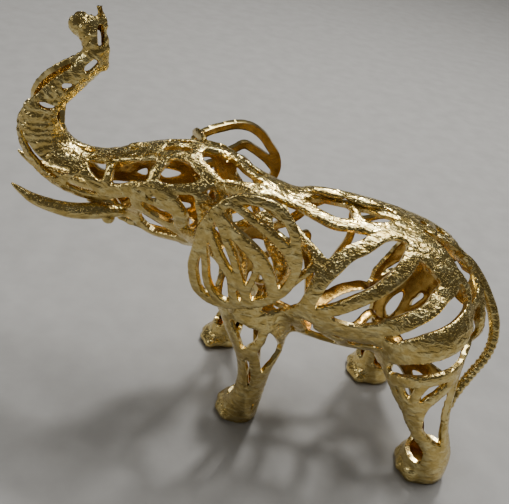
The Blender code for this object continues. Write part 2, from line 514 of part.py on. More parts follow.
def bridge_pinches(bm):
    """Fill a notch with a triangle where the edge of a sheet meets itself at one point."""
    pinched = [v for v in bm.verts if sum(e.is_boundary for e in v.link_edges) > 2]
    for v in pinched:
        groups = fans(v)
        notches = []
        for one, (_, leaving) in enumerate(groups):
            for other, (arriving, _) in enumerate(groups):
                ends = leaving.other_vert(v), arriving.other_vert(v)
                shared = bm.edges.get(ends)
                if one != other and ends[0] is not ends[1] and (shared is None or shared.is_boundary):
                    notches.append(((ends[0].co - ends[1].co).length, ends))
        if notches:
            _, (first, last) = min(notches, key=lambda n: n[0])
            bm.faces.new((first, v, last))
        else:
            bmesh.ops.delete(bm, geom=list(v.link_faces), context='FACES')
    return len(pinched)


def body_sheet():
    skin = skin_mesh(SKIN_CELL)
    bm = bmesh.new()
    bm.from_mesh(skin.data)
    bpy.data.objects.remove(skin, do_unlink=True)
    tree = BVHTree.FromBMesh(bm)
    pierce(bm, lambda co: body_field(co, tree))
    while bridge_pinches(bm):
        pass
    print("pieces of the pierced skin:", keep_largest(bm))
    return bm


def ear_point(u, v, side):
    """A point of an ear: u runs backwards and v upwards from the middle, in pose units."""
    x, y, z = EAR_MIDDLE[side]
    flare = math.radians(EAR_FLARE[side])
    out = EAR_DOME * (1 - (u / EAR_HALF[0]) ** 2 - (v / EAR_HALF[1]) ** 2)
    x += u * math.cos(flare) - out * math.sin(flare)
    y += u * math.sin(flare) + out * math.cos(flare)
    return (x, y if side == "right" else -y, z + v + EAR_LEAN * out)


def ear_object(side):
    """One ear: a domed sheet pierced by the rim and the ribs, with its own wall."""
    bm = bmesh.new()
    bmesh.ops.create_grid(bm, x_segments=EAR_CELLS, y_segments=EAR_CELLS, size=1.0)
    for v in bm.verts:
        v.co = place(ear_point(v.co.x * EAR_HALF[0], v.co.y * EAR_HALF[1], side))
    rows = [(EAR_RIM[side] + EAR_RIM[side][:1], EAR_RIM_WIDTHS)] + EAR_RIBS[side]
    lines = [drawn([ear_point(u, v, side) for u, v in row], widths, None) for row, widths in rows]
    pierce(bm, lambda co: run_together([strap_distance(co, *line) for line in lines]))
    keep_largest(bm)
    return solid_from_sheet(bm, "ear", EAR_FACES, EAR_WALL, 0)


def solid_from_sheet(bm, name, faces, wall, offset):
    """A sheet thinned to so many faces and given its wall."""
    mesh = bpy.data.meshes.new(name)
    bm.to_mesh(mesh)
    bm.free()
    ob = linked(name, mesh)
    thin = ob.modifiers.new("fewer faces", 'DECIMATE')
    thin.ratio = min(1.0, faces / len(mesh.polygons))
    ob = evaluated(ob, name)
    bm = bmesh.new()
    bm.from_mesh(ob.data)
    while bridge_pinches(bm):
        pass
    bmesh.ops.delete(bm, geom=[e for e in bm.edges if not e.link_faces], context='EDGES')
    print("pieces of the", name, keep_largest(bm))
    for v in bm.verts:
        if v.co.z < FLAT_SOLE:
            v.co.z = 0.0
    bm.to_mesh(ob.data)
    bm.free()
    shell = ob.modifiers.new("wall", 'SOLIDIFY')
    shell.thickness = wall
    shell.offset = offset
    return evaluated(ob, name)


def bar_object(stations, broad=0.0):
    """A closed tapering bar through the stations."""
    ob = tube_mesh(stations, steps=2, sides=0 if broad else 1, broad=broad)
    bm = bmesh.new()
    bm.from_mesh(ob.data)
    bmesh.ops.remove_doubles(bm, verts=bm.verts, dist=0.00002)
    bmesh.ops.recalc_face_normals(bm, faces=bm.faces)
    bm.to_mesh(ob.data)
    bm.free()
    return ob


def leaf_object(centre, size, tilt):
    """A small raised leaf on the ridge of the back or the brow, or a knob."""
    bm = bmesh.new()
    shape = Matrix.Translation(place(centre)) @ Matrix.Rotation(math.radians(tilt), 4, 'Y')
    shape = shape @ Matrix.Diagonal(Vector((*[s * UNIT for s in size], 1)))
    bmesh.ops.create_uvsphere(bm, u_segments=8, v_segments=5, radius=0.5, matrix=shape)
    mesh = bpy.data.meshes.new("leaf")
    bm.to_mesh(mesh)
    bm.free()
    return linked("leaf", mesh)


def join(body, extras):
    """Fuse the extras into the casting, one after another."""
    for extra in extras:
        union = body.modifiers.new("fuse", 'BOOLEAN')
        union.operation = 'UNION'
        union.solver = 'EXACT'
        union.object = extra
        body = evaluated(body, "elephant")
        bpy.data.objects.remove(extra, do_unlink=True)
    return body


def settle(ob):
    """Move the casting so that the middle of its box stands over the origin."""
    box = np.array([v.co for v in ob.data.vertices])
    low, high = box.min(0), box.max(0)
    shift = Vector(((low[0] + high[0]) / 2, (low[1] + high[1]) / 2, low[2]))
    ob.data.transform(Matrix.Translation(-shift))
    print("settled by mm:", [round(float(a) * 1000, 2) for a in shift])


def gold():
    """Bright gold plate over the cast metal."""
    metal = bpy.data.materials.new("gold plated brass")
    metal.use_nodes = True
    shader = metal.node_tree.nodes["Principled BSDF"]
    shader.inputs["Base Color"].default_value = (0.83, 0.60, 0.22, 1.0)
    shader.inputs["Metallic"].default_value = 1.0
    shader.inputs["Roughness"].default_value = 0.28
    return metal


def main():
    clear_scene()
    body = solid_from_sheet(body_sheet(), "elephant", SKIN_FACES, WALL, -1)
    rise = np.linspace(0, TUSK_RISE, len(TUSK))
    lead = [mirrored((x + TUSK_LEAD, y, z + up, r)) for (x, y, z, r), up in zip(TUSK, rise)]
    extras = [ear_object("left"), ear_object("right")]
    extras += [bar_object(bar) for bar in (TUSK, lead, TAIL)]
    extras += [bar_object(bar, BROAD) for bar in EAR_ROOTS]
    extras += [leaf_object(*leaf) for leaf in LEAVES]
    body = join(body, extras)
    settle(body)
    body.data.materials.clear()
    body.data.materials.append(gold())
    group = bpy.data.collections.new("elephant figurine")
    bpy.context.scene.collection.children.link(group)
    bpy.context.scene.collection.objects.unlink(body)
    group.objects.link(body)
    return body


if __name__ == "__main__":
    main()
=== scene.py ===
# %% [markdown]
# # Openwork elephant figurine
# The real object is one hollow casting in brass, pierced all over until only flowing straps are left, and then
# plated in bright gold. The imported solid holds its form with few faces. This script builds the same form again
# with a fine skin, so that the straps get soft edges, hammered relief, trunk wrinkles and an eye.

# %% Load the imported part
import json
import math

import bmesh
import bpy
import numpy as np
from mathutils import Matrix, Vector, noise
from mathutils.bvhtree import BVHTree

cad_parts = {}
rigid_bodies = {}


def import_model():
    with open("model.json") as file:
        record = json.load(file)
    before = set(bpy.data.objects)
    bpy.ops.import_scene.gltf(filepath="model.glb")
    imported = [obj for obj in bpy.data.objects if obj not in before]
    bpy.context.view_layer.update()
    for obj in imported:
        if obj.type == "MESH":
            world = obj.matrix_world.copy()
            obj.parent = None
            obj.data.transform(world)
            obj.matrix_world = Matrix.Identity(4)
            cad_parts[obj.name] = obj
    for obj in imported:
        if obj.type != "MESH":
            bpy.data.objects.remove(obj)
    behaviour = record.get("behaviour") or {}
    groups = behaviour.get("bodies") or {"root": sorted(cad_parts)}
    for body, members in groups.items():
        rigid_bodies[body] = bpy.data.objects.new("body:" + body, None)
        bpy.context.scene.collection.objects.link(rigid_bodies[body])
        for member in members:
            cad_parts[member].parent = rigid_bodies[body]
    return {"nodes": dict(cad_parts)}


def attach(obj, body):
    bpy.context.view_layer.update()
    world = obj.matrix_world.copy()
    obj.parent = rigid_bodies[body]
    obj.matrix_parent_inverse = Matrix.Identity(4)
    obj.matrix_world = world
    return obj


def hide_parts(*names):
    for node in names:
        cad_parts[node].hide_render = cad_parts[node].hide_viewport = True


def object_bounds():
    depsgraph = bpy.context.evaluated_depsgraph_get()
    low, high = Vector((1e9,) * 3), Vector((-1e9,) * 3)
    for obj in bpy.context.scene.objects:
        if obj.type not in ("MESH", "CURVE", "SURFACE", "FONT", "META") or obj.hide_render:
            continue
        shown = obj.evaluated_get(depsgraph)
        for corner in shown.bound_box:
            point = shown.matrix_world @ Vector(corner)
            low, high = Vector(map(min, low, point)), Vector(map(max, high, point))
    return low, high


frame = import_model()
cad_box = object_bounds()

print("packed nodes:", list(frame["nodes"]), "box", cad_box)

# %% [markdown]
# ## Camera
# The photograph looks down at the elephant's left side from about 35 degrees, with the camera rolled a little,
# which is why the elephant seems to walk uphill. The camera is close, so the head end looks larger. A camera is
# placed from those angles, a distance and the point that it looks at.

# %% Camera at the photograph's angle
CAMERA_TURN, CAMERA_LIFT, CAMERA_ROLL = (math.radians(a) for a in (1.4, 34.8, 11.2))
CAMERA_AIM = Vector((-0.00022, -0.00463, 0.1129))
CAMERA_DISTANCE = 0.404
FRAME_WIDTH = 36                  # millimetres
FOCAL_RATIO = 683 / 509           # focal length over the frame's width


def photograph_camera():
    """A camera that looks at the aim point along the photograph's angles."""
    level = math.cos(CAMERA_LIFT)
    away = Vector((math.sin(CAMERA_TURN) * level, -math.cos(CAMERA_TURN) * level, math.sin(CAMERA_LIFT)))
    across = Vector((math.cos(CAMERA_TURN), math.sin(CAMERA_TURN), 0))
    upright = away.cross(across)
    right = across * math.cos(CAMERA_ROLL) + upright * math.sin(CAMERA_ROLL)
    up = upright * math.cos(CAMERA_ROLL) - across * math.sin(CAMERA_ROLL)
    place = CAMERA_AIM + away * CAMERA_DISTANCE
    camera = bpy.data.objects.new("camera", bpy.data.cameras.new("camera"))
    camera.data.lens = FRAME_WIDTH * FOCAL_RATIO
    camera.data.clip_start = 0.01
    camera.matrix_world = Matrix(((right.x, up.x, away.x, place.x),
                                  (right.y, up.y, away.y, place.y),
                                  (right.z, up.z, away.z, place.z),
                                  (0, 0, 0, 1)))
    bpy.context.scene.collection.objects.link(camera)
    bpy.context.scene.camera = camera
    return camera


print("camera stands at", [round(a, 3) for a in photograph_camera().matrix_world.translation])

# %% [markdown]
# ## Materials: helpers
# A colour is picked as an sRGB hex value, as a designer writes it, but a shader wants linear light, so one
# function turns the one into the other. Another small function adds a node, sets it and links it.

# %% Colour and node helpers


def linear(colour):
    """An sRGB hex colour as linear RGBA."""
    parts = [int(colour[i:i + 2], 16) / 255 for i in (1, 3, 5)]
    return tuple(c / 12.92 if c <= 0.04045 else ((c + 0.055) / 1.055) ** 2.4 for c in parts) + (1.0,)


def add(tree, kind, settings=None, **inputs):
    """A node with its settings; an input is a value or the socket that feeds it."""
    node = tree.nodes.new(kind)
    for name, value in (settings or {}).items():
        setattr(node, name, value)
    for name, value in inputs.items():
        key = int(name[1:]) if name[1:].isdigit() else name.replace("_", " ")
        socket = node.inputs[key]
        if isinstance(value, bpy.types.NodeSocket):
            tree.links.new(value, socket)
        else:
            socket.default_value = value
    return node


def ramp(tree, feed, stops):
    """A colour ramp over hex colours at the given places."""
    node = add(tree, "ShaderNodeValToRGB", i0=feed)
    band = node.color_ramp.elements
    for place, colour in stops[1:-1]:
        band.new(place)
    for element, (place, colour) in zip(band, stops):
        element.position = place
        element.color = linear(colour)
    return node.outputs[0]


print("white is", linear("#FFFFFF"))

# %% [markdown]
# ## Floor and studio
# The floor is plain and pale. Gold shows what is around it, so the light decides most of its colour: one broad
# soft box overhead whitens what faces up, a dim room leaves the sides olive, and the pale floor warms the belly.
# A small key light behind the elephant throws the soft net of its shadow towards the viewer.

# %% Floor
FLOOR_REACH = 3.0          # metres
FLOOR_GRAIN = 0.02         # metres, the faint cloud of the paint


def studio_floor():
    """A wide pale matt floor."""
    bm = bmesh.new()
    bmesh.ops.create_grid(bm, x_segments=1, y_segments=1, size=FLOOR_REACH)
    mesh = bpy.data.meshes.new("studio_floor")
    bm.to_mesh(mesh)
    bm.free()
    paint = bpy.data.materials.new("matt pale floor")
    paint.use_nodes = True
    tree = paint.node_tree
    where = add(tree, "ShaderNodeTexCoord").outputs["Object"]
    grain = add(tree, "ShaderNodeTexNoise", Vector=where, Scale=1 / FLOOR_GRAIN, Detail=3.0).outputs[0]
    shader = tree.nodes["Principled BSDF"]
    tree.links.new(ramp(tree, grain, [(0.3, "#92908C"), (0.7, "#9A9894")]), shader.inputs["Base Color"])
    shader.inputs["Roughness"].default_value = 0.85
    mesh.materials.append(paint)
    floor = bpy.data.objects.new("studio_floor", mesh)
    bpy.context.scene.collection.objects.link(floor)
    return floor


print("floor", studio_floor().name)

# %% Lights
LIGHTS = {      # place, aim, size in metres, watts
    "overhead soft box": ((0.2, 0.40, 1.5), (0.0, 0.0, 0.1), (1.5, 0.7), 25),
    "key": ((0.25, 0.75, 1.3), (0.0, 0.0, 0.1), (0.16, 0.16), 14),
    "window side": ((-1.5, -0.6, 0.9), (0.0, 0.0, 0.12), (0.4, 0.9), 4),
}
ROOM = "#8C8880", 0.33


def studio_lights():
    for name, (place, aim, (wide, high), watts) in LIGHTS.items():
        lamp = bpy.data.lights.new(name, 'AREA')
        lamp.shape = 'RECTANGLE'
        lamp.size, lamp.size_y = wide, high
        lamp.energy = watts
        ob = bpy.data.objects.new(name, lamp)
        ob.location = place
        ob.rotation_euler = (Vector(aim) - Vector(place)).to_track_quat('-Z', 'Y').to_euler()
        bpy.context.scene.collection.objects.link(ob)
    room = bpy.data.worlds.new("dim studio")
    room.use_nodes = True
    backdrop = room.node_tree.nodes["Background"]
    backdrop.inputs["Color"].default_value = linear(ROOM[0])
    backdrop.inputs["Strength"].default_value = ROOM[1]
    bpy.context.scene.world = room


studio_lights()
print("lights:", list(LIGHTS))

# %% [markdown]
# ## Gold plate
# The casting is brass with a bright gold plate. Outside, the wax model was torn and pressed like crumpled foil
# before it was cast. The plate runs over slow swells. Small dark olive flecks between pale gold are painted
# shade: they stand for the pits of that relief, which look dark where the overhead light whitens the rest, so
# they are painted most where the surface faces up. Each point carries how far it faces up in an attribute of its
# own.
# A metal has its colour in its reflection: metallic is 1 and the IOR stays as it is.

# %% Crinkled gold for the outside, with painted shade in its pits
SWELL_SIZE = 0.0060        # metres, the slow swells that the gloss runs over
FLECK_SIZE = 0.0017        # metres, the flecks of painted pit shade and the pits of the relief, as fine as the render can show
STREAK = (1.0, 1.8, 1.8)   # both are longer along the body
# colour of the painted shade in the pits of the relief, laid on most where the surface faces up
PAINTED_PIT_SHADE_COLOUR = "#4C4220"


def crinkled_gold():
    metal = bpy.data.materials.new("bright gold plate over crinkled brass")
    metal.use_nodes = True
    tree = metal.node_tree
    where = add(tree, "ShaderNodeTexCoord").outputs["Object"]
    along = add(tree, "ShaderNodeMapping", Vector=where, Scale=STREAK).outputs[0]
    swell = add(tree, "ShaderNodeTexNoise", Vector=along, Scale=1 / SWELL_SIZE, Detail=2.0, Roughness=0.5,
                Distortion=0.8).outputs[0]
    fleck = add(tree, "ShaderNodeTexNoise", Vector=along, Scale=1 / FLECK_SIZE, Detail=2.0, Roughness=0.6,
                Distortion=0.6).outputs[0]
    # painted shade: dark flecks in the pits, from 0.22 of them on the sides up to all of them where the surface
    # faces up; the same spots also roughen the gloss and sink the bump
    upward = add(tree, "ShaderNodeAttribute", {"attribute_name": "upward"}).outputs["Fac"]
    pit_spots = add(tree, "ShaderNodeMapRange", i0=fleck, i1=0.56, i2=0.62, i3=0.0, i4=0.90).outputs[0]
    share = add(tree, "ShaderNodeMapRange", i0=upward, i1=0.0, i2=1.0, i3=0.22, i4=1.0).outputs[0]
    pits_and_painted_shade = add(tree, "ShaderNodeMath", {"operation": 'MULTIPLY'}, i0=pit_spots, i1=share).outputs[0]
    plate = ramp(tree, swell, [(0.35, "#CCB168"), (0.50, "#DCC37C"), (0.65, "#EAD898")])
    colour = add(tree, "ShaderNodeMix", {"data_type": 'RGBA'}, i0=pits_and_painted_shade, i6=plate,
                 i7=linear(PAINTED_PIT_SHADE_COLOUR)).outputs[2]
    shader = tree.nodes["Principled BSDF"]
    tree.links.new(colour, shader.inputs["Base Color"])
    shader.inputs["Metallic"].default_value = 1.0
    rough = add(tree, "ShaderNodeMapRange", i0=pits_and_painted_shade, i1=0.0, i2=0.8, i3=0.19, i4=0.42).outputs[0]
    tree.links.new(rough, shader.inputs["Roughness"])
    pits = add(tree, "ShaderNodeMath", {"operation": 'MULTIPLY'}, i0=pits_and_painted_shade, i1=-0.20).outputs[0]
    relief = add(tree, "ShaderNodeMath", {"operation": 'ADD'}, i0=swell, i1=pits).outputs[0]
    bump = add(tree, "ShaderNodeBump", Strength=0.7, Distance=0.0012, Height=relief).outputs[0]
    tree.links.new(bump, shader.inputs["Normal"])
    return metal


OUTSIDE = crinkled_gold()
print("material:", OUTSIDE.name)

# %% [markdown]
# Inside, the wall is smooth from the core that it was cast round. Its deep amber is painted reflection: gold that
# sees only gold turns deep amber, so the inside gets a darker, deeper base colour for it.
# The cut edges were filed and polished, so they are the brightest lines on the elephant: their low roughness is
# the polish, and their paler base colour is a painted highlight.

# %% Smooth gold for the inside and the edges, with painted amber reflection inside and a painted highlight on the edges
RIPPLE_SIZE = 0.009        # metres, slow ripples of the core


def smooth_gold(name, low, high, rough, height):
    metal = bpy.data.materials.new(name)
    metal.use_nodes = True
    tree = metal.node_tree
    where = add(tree, "ShaderNodeTexCoord").outputs["Object"]
    ripple = add(tree, "ShaderNodeTexNoise", Vector=where, Scale=1 / RIPPLE_SIZE, Detail=3.0).outputs[0]
    shader = tree.nodes["Principled BSDF"]
    tree.links.new(ramp(tree, ripple, [(0.35, low), (0.65, high)]), shader.inputs["Base Color"])
    shader.inputs["Metallic"].default_value = 1.0
    shader.inputs["Roughness"].default_value = rough
    bump = add(tree, "ShaderNodeBump", Strength=0.5, Distance=height, Height=ripple).outputs[0]
    tree.links.new(bump, shader.inputs["Normal"])
    return metal


# the inside's deep amber base colour is painted reflection of gold seen in gold
INSIDE = smooth_gold("smooth gold inside with painted amber reflection", "#A07A34", "#D6B060", 0.26, 0.0008)
# the edges' paler base colour is a painted highlight; their low roughness is the polish
EDGE = smooth_gold("polished gold edge with painted highlight", "#D8BC70", "#F2DFA0", 0.20, 0.0003)
print("materials:", INSIDE.name, "and", EDGE.name)

# %% [markdown]
# ## Pose
# The figure is described on a grid of 237ths of its height. Each mass of the body is a row of stations, each
# with a place and a radius, as a sculptor builds up clay on a wire. The feet stand on the ground plane.

# %% Sizes of the casting
HEIGHT = 0.237            # metres, soles to the finger of the raised trunk
UNIT = HEIGHT / 237
CENTRE_X = -50            # near the middle of the length
SOLE_HEIGHT = 1.6         # the soles are cut off at this height of the pose
CENTRING = Vector((-0.00478, 0.00263, 0.0))      # metres that the casting moves to stand over the origin
WALL = 0.0026             # thickness of the cast metal
EAR_WALL = 0.0030
FILLET = 0.0006           # how far a web reaches into the corner between two straps
FLAT_SOLE = 0.0006        # what is nearer the ground than this stays flat
SKIN_CELL = 0.0021
TRUNK_START = -136        # the skin is finer in front of this
FINE_TIP = -155, 0, 244, 3.0      # the fine skin keeps more of the finger's tip, so it ends lower
print("skin cell", SKIN_CELL)

# %% Masses, legs and feet
# Body masses: stations along each one as (x, y, z, radius)
MASSES = {
    "barrel": [(-64, 0, 131, 28), (-45, 0, 123, 40), (-20, 0, 116, 45), (10, 0, 114, 45.5),
               (39, 0, 112.5, 42.5), (56, 0, 108.5, 35.5), (62, 0, 105, 28)],
    "neck": [(-55, 0, 131, 31), (-72, 0, 139, 27), (-90, 0, 148, 28)],
    "head": [(-88, 0, 148, 28.5), (-104, 0, 150, 26.5), (-122, 0, 148, 22.5), (-140, 0, 145, 17)],
    "jaw": [(-96, 0, 131, 20), (-108, 0, 126, 16.5), (-120, 0, 123, 12), (-134, 0, 123, 8)],
    "trunk": [(-134, 0, 145, 17), (-152, 0, 141.5, 16.5), (-168, 0, 143.5, 16), (-181, 0, 152, 15),
              (-186.5, 0, 167, 14), (-183, 0, 182, 12.8), (-172, 0, 196, 10.8), (-159.5, 0, 206, 8.6),
              (-152.5, 0, 215, 7.0), (-156, 0, 223.5, 6.4), (-164, 0, 228.5, 7.4)],
    "finger": [(-150, 0, 208, 3.8), (-150, 0, 222, 3.8), (-151, 0, 233, 3.6), (-155, 0, 246, 3.0)],
}
# Legs of the left side; the right ones are the same legs swung forward by LEG_SWING
LEGS = {
    "fore": [(-52, -22, 104, 23), (-45, -26, 82, 21), (-41, -28, 66, 15.5), (-41, -28, 50, 11.5),
             (-41, -25.5, 32, 10.5), (-44, -24.5, 14, 12), (-45, -21, 0, 12.5)],
    "hind": [(47, -22, 104, 31), (52, -31, 82, 25), (60, -36, 58, 17.5), (71.5, -37.5, 34, 14),
             (78, -37, 15, 15), (77, -36, 0, 15)],
}
LEG_SWING = {"fore": -22, "hind": -33}
LEG_SPREAD = {"fore": 20, "hind": 5}     # the right feet also stand this much further out
SWING_TOP, SWING_FOOT = 100, 25     # heights between which a leg swings out
FEET = {"fore": (-45, -21, 5), "hind": (77, -36, 5)}
FOOT_CLOSED = {"fore": 19.0, "hind": 21.5}           # all of the skin this near a foot's centre is closed
FOOT_SQUASH = 1.25        # the closed part is this much lower than it is wide
TOES = 4
TOE = {"fore": (12.5, 5.0), "hind": (14.5, 5.6)}     # reach from the foot's centre, radius
TOE_SPREAD = 35           # degrees between neighbouring toes
print(len(MASSES), "masses and", len(LEGS), "pairs of legs")

# %% [markdown]
# ## Straps
# What is left of the skin are straps that flow like ribbons from the spine over the flank and down the legs.
# Each one is a row of points with three half widths. They are drawn onto the skin like tape, and wherever two
# meet, a small web fills the corner, as molten metal and polishing would leave it.

# %% Straps of the body
# Straps as points near the skin, with half widths at the start, middle and end.
# Each one is drawn onto the skin.
# Straps of the left side and the middle, which are repeated on the right side
BODY_STRAPS = {
    "neck": ([(-86, -21, 166), (-78, -19, 164), (-66, -14, 163), (-48, -5, 161)], (3.4, 3.6, 4.6)),
    "shoulder": ([(-48, -6, 160), (-36, -8, 158), (-26, -14, 157), (-14, -18, 156), (-3, -16, 157),
                  (7, -15, 156)], (4.4, 3.8, 4.2)),
    "flank top": ([(7, -15, 156), (14, -12, 156), (22, -6, 156), (30, -4, 155)], (4.0, 4.0, 3.4)),
    "flank bridge": ([(12, -18, 155), (22, -14, 155), (31, -13, 153)], (3.2, 3.2, 4.2)),
    "loin": ([(24, 0, 157), (32, -12, 152), (39, -16, 149), (47, -14, 147)], (3.4, 5.0, 4.6)),
    "rump inner": ([(57, -17, 139), (65, -18, 129), (66, -24, 124), (61, -37, 123), (54, -45, 120),
                    (44, -49, 115), (33, -49, 106)], (2.3, 2.2, 2.4)),
    "rump middle": ([(75, 0, 126), (74, -8, 124), (71, -18, 121), (68, -27, 120), (61, -42, 118),
                     (53, -48, 114), (43, -51, 109), (31, -48, 100)], (2.4, 2.6, 3.0)),
    "rump outer": ([(61, 0, 141), (70, -3, 131), (76, -12, 121), (80, -17, 111), (81, -16, 99),
                    (77, -30, 98), (70, -42, 92)], (2.5, 2.8, 3.8)),
    "neck ridge": ([(-97, 0, 177), (-87, -1, 174), (-72, 0, 167), (-48, 0, 162)], (2.6, 2.4, 3.0)),
    "back ridge": ([(-50, 0, 163), (-20, 0, 161), (9, 0, 159), (27, 0, 156), (46, 0, 149), (60, 0, 140),
                    (76, 0, 126)], (3.0, 2.4, 2.2)),
    "breast": ([(-96, -12, 121), (-86, -10, 113), (-76, -12, 103), (-70, -24, 95),
                (-64, -32, 95)], (2.4, 2.4, 3.6)),
    "breast tie": ([(-79, -12, 104), (-80, 0, 105)], (2.4, 2.4, 2.4)),
    "neck side": ([(-86, -24, 158), (-74, -27, 145), (-63, -33, 128), (-55, -43, 106)], (2.4, 2.2, 3.0)),
    "girth": ([(-26, -42, 104), (-20, -34, 88), (-16, -18, 75), (-15, 0, 71)], (3.2, 3.0, 3.0)),
    "keel": ([(-46, 0, 82), (-30, 0, 74), (-15, 0, 71), (12, 0, 69), (30, 0, 70)], (2.4, 2.4, 2.4)),
    "flank tie": ([(-26, -38, 100), (-38, -20, 88), (-46, 0, 83)], (3.0, 2.6, 2.6)),
    "seat": ([(81, -14, 100), (83, 0, 98)], (2.2, 2.2, 2.2)),
    "rib": ([(-1, -18, 156), (-4, -8, 160), (-6, 0, 161)], (2.6, 2.4, 2.4)),
    "rump low": ([(67, -33, 117), (62, -43, 111), (50, -51, 106), (40, -51, 101),
                  (31, -48, 94)], (3.4, 4.8, 4.0)),
    "chest": ([(-73, -30, 97), (-61, -42, 101), (-49, -45, 100), (-38, -41, 98),
               (-27, -38, 98)], (4.4, 5.2, 4.4)),
}
# Straps of the left flank alone
LEFT_STRAPS = {
    "flank fall": ([(12, -18, 155), (3, -26, 150), (-5, -32, 147), (-11, -36, 140), (-16, -41, 133),
                    (-19, -43, 123), (-22, -42, 110)], (3.8, 5.0, 3.8)),
    "ear back": ([(-44, -14, 156), (-40, -21, 153), (-35, -25, 151), (-29, -30, 147),
                  (-21, -35, 142)], (2.2, 2.2, 3.8)),
    "elbow": ([(-20, -36, 140), (-27, -40, 132), (-35, -42, 121), (-44, -42, 111),
               (-50, -43, 101)], (2.2, 2.2, 2.8)),
    "belly": ([(-23, -42, 110), (-13, -43, 105), (1, -42, 100), (16, -41, 97), (28, -46, 101),
               (37, -49, 102)], (3.6, 4.6, 3.0)),
    "belly low": ([(-12, -42, 99), (4, -36, 88), (13, -33, 84), (21, -36, 87),
                   (28, -43, 92)], (2.4, 3.0, 3.2)),
    "leaf": ([(32, -13, 152), (29, -24, 147), (24, -33, 141), (19, -37, 136), (13, -41, 131),
              (3, -43, 123), (-8, -44, 115), (-19, -43, 108)], (5.0, 4.1, 3.8)),
    "haunch": ([(30, -8, 154), (42, -12, 150), (52, -18, 142), (55, -24, 136), (50, -31, 133),
                (44, -40, 128), (35, -44, 121), (24, -44, 111), (10, -43, 104), (-2, -43, 104),
                (-11, -43, 107)], (5.0, 4.5, 4.6)),
    "belly tie": ([(4, -38, 90), (10, -22, 75), (12, 0, 69)], (3.6, 3.2, 3.2)),
    "groin": ([(28, -42, 88), (34, -20, 76), (38, 0, 72)], (2.6, 2.6, 3.0)),
    "haunch plate": ([(25, -11, 155), (35, -14, 151), (45, -19, 145), (50, -22, 140)], (6.0, 8.4, 6.4)),
    "underside": ([(-27, -28, 80), (-18, -28, 80), (-10, -29, 79), (-3, -28, 78), (5, -30, 79),
                   (14, -34, 82), (24, -40, 86)], (3.6, 5.0, 4.6)),
    "shoulder plate": ([(-50, -24, 150), (-47, -30, 142), (-41, -35, 137), (-39, -38, 129),
                        (-43, -40, 119)], (2.8, 4.6, 3.4)),
    "ear inner": ([(-73, -27, 144), (-68, -27, 144), (-60, -25, 149), (-53, -21, 153),
                   (-44, -16, 156)], (2.6, 2.7, 2.7)),
}
# Straps of the right flank alone
RIGHT_STRAPS = {
    "elbow": ([(-12, 19, 156), (-17, 29, 148), (-21, 36, 139), (-27, 40, 132), (-35, 42, 121),
               (-44, 42, 111), (-50, 43, 101)], (2.6, 3.0, 2.8)),
    "flank": ([(10, 0, 158), (5, 22, 153), (1, 35, 142), (0, 42, 131), (2, 44, 121), (2, 44, 109),
               (-2, 41, 98), (-7, 34, 87), (-10, 24, 79), (-14, 0, 71)], (2.8, 2.6, 3.2)),
    "loin side": ([(40, 0, 152), (41, 24, 146), (40, 41, 130), (37, 49, 113), (33, 50, 102),
                   (29, 48, 94), (24, 44, 84), (15, 35, 79), (3, 28, 76), (-5, 20, 73),
                   (-14, 0, 71)], (3.2, 3.6, 3.6)),
    "arch": ([(1, 42, 127), (7, 43, 128), (13, 41, 132), (18, 37, 137), (24, 34, 141), (33, 30, 144),
              (41, 24, 146)], (1.6, 1.8, 2.4)),
    "rump side": ([(52, 8, 148), (56, 24, 138), (54, 42, 118), (50, 51, 100), (50, 51, 86), (53, 49, 69),
                   (51, 49, 54), (47, 51, 42)], (2.8, 4.2, 3.6)),
    "rump back": ([(55, 49, 83), (61, 43, 82), (68, 32, 88), (75, 30, 97)], (3.6, 3.2, 3.0)),
    "groin": ([(24, 44, 84), (32, 46, 72), (38, 46, 58), (42, 49, 46)], (2.4, 2.8, 3.2)),
    "hub": ([(53, 50, 96), (55, 49, 86), (55, 48, 74)], (4.4, 7.4, 4.8)),
    "snout plate": ([(-161, 14, 142), (-156, 13, 134)], (3.2, 3.4, 3.2)),
    "temple plate": ([(-154, 14, 135), (-140, 15, 137), (-124, 17, 136),
                      (-110, 19, 136)], (3.4, 3.4, 3.2)),
    "ring plate": ([(-114, 20, 136), (-105, 23, 139), (-102, 25, 144), (-106, 25, 149),
                    (-113, 23, 151)], (3.2, 4.8, 2.6)),
}
print(len(BODY_STRAPS) + len(LEFT_STRAPS) + len(RIGHT_STRAPS), "straps on the body")

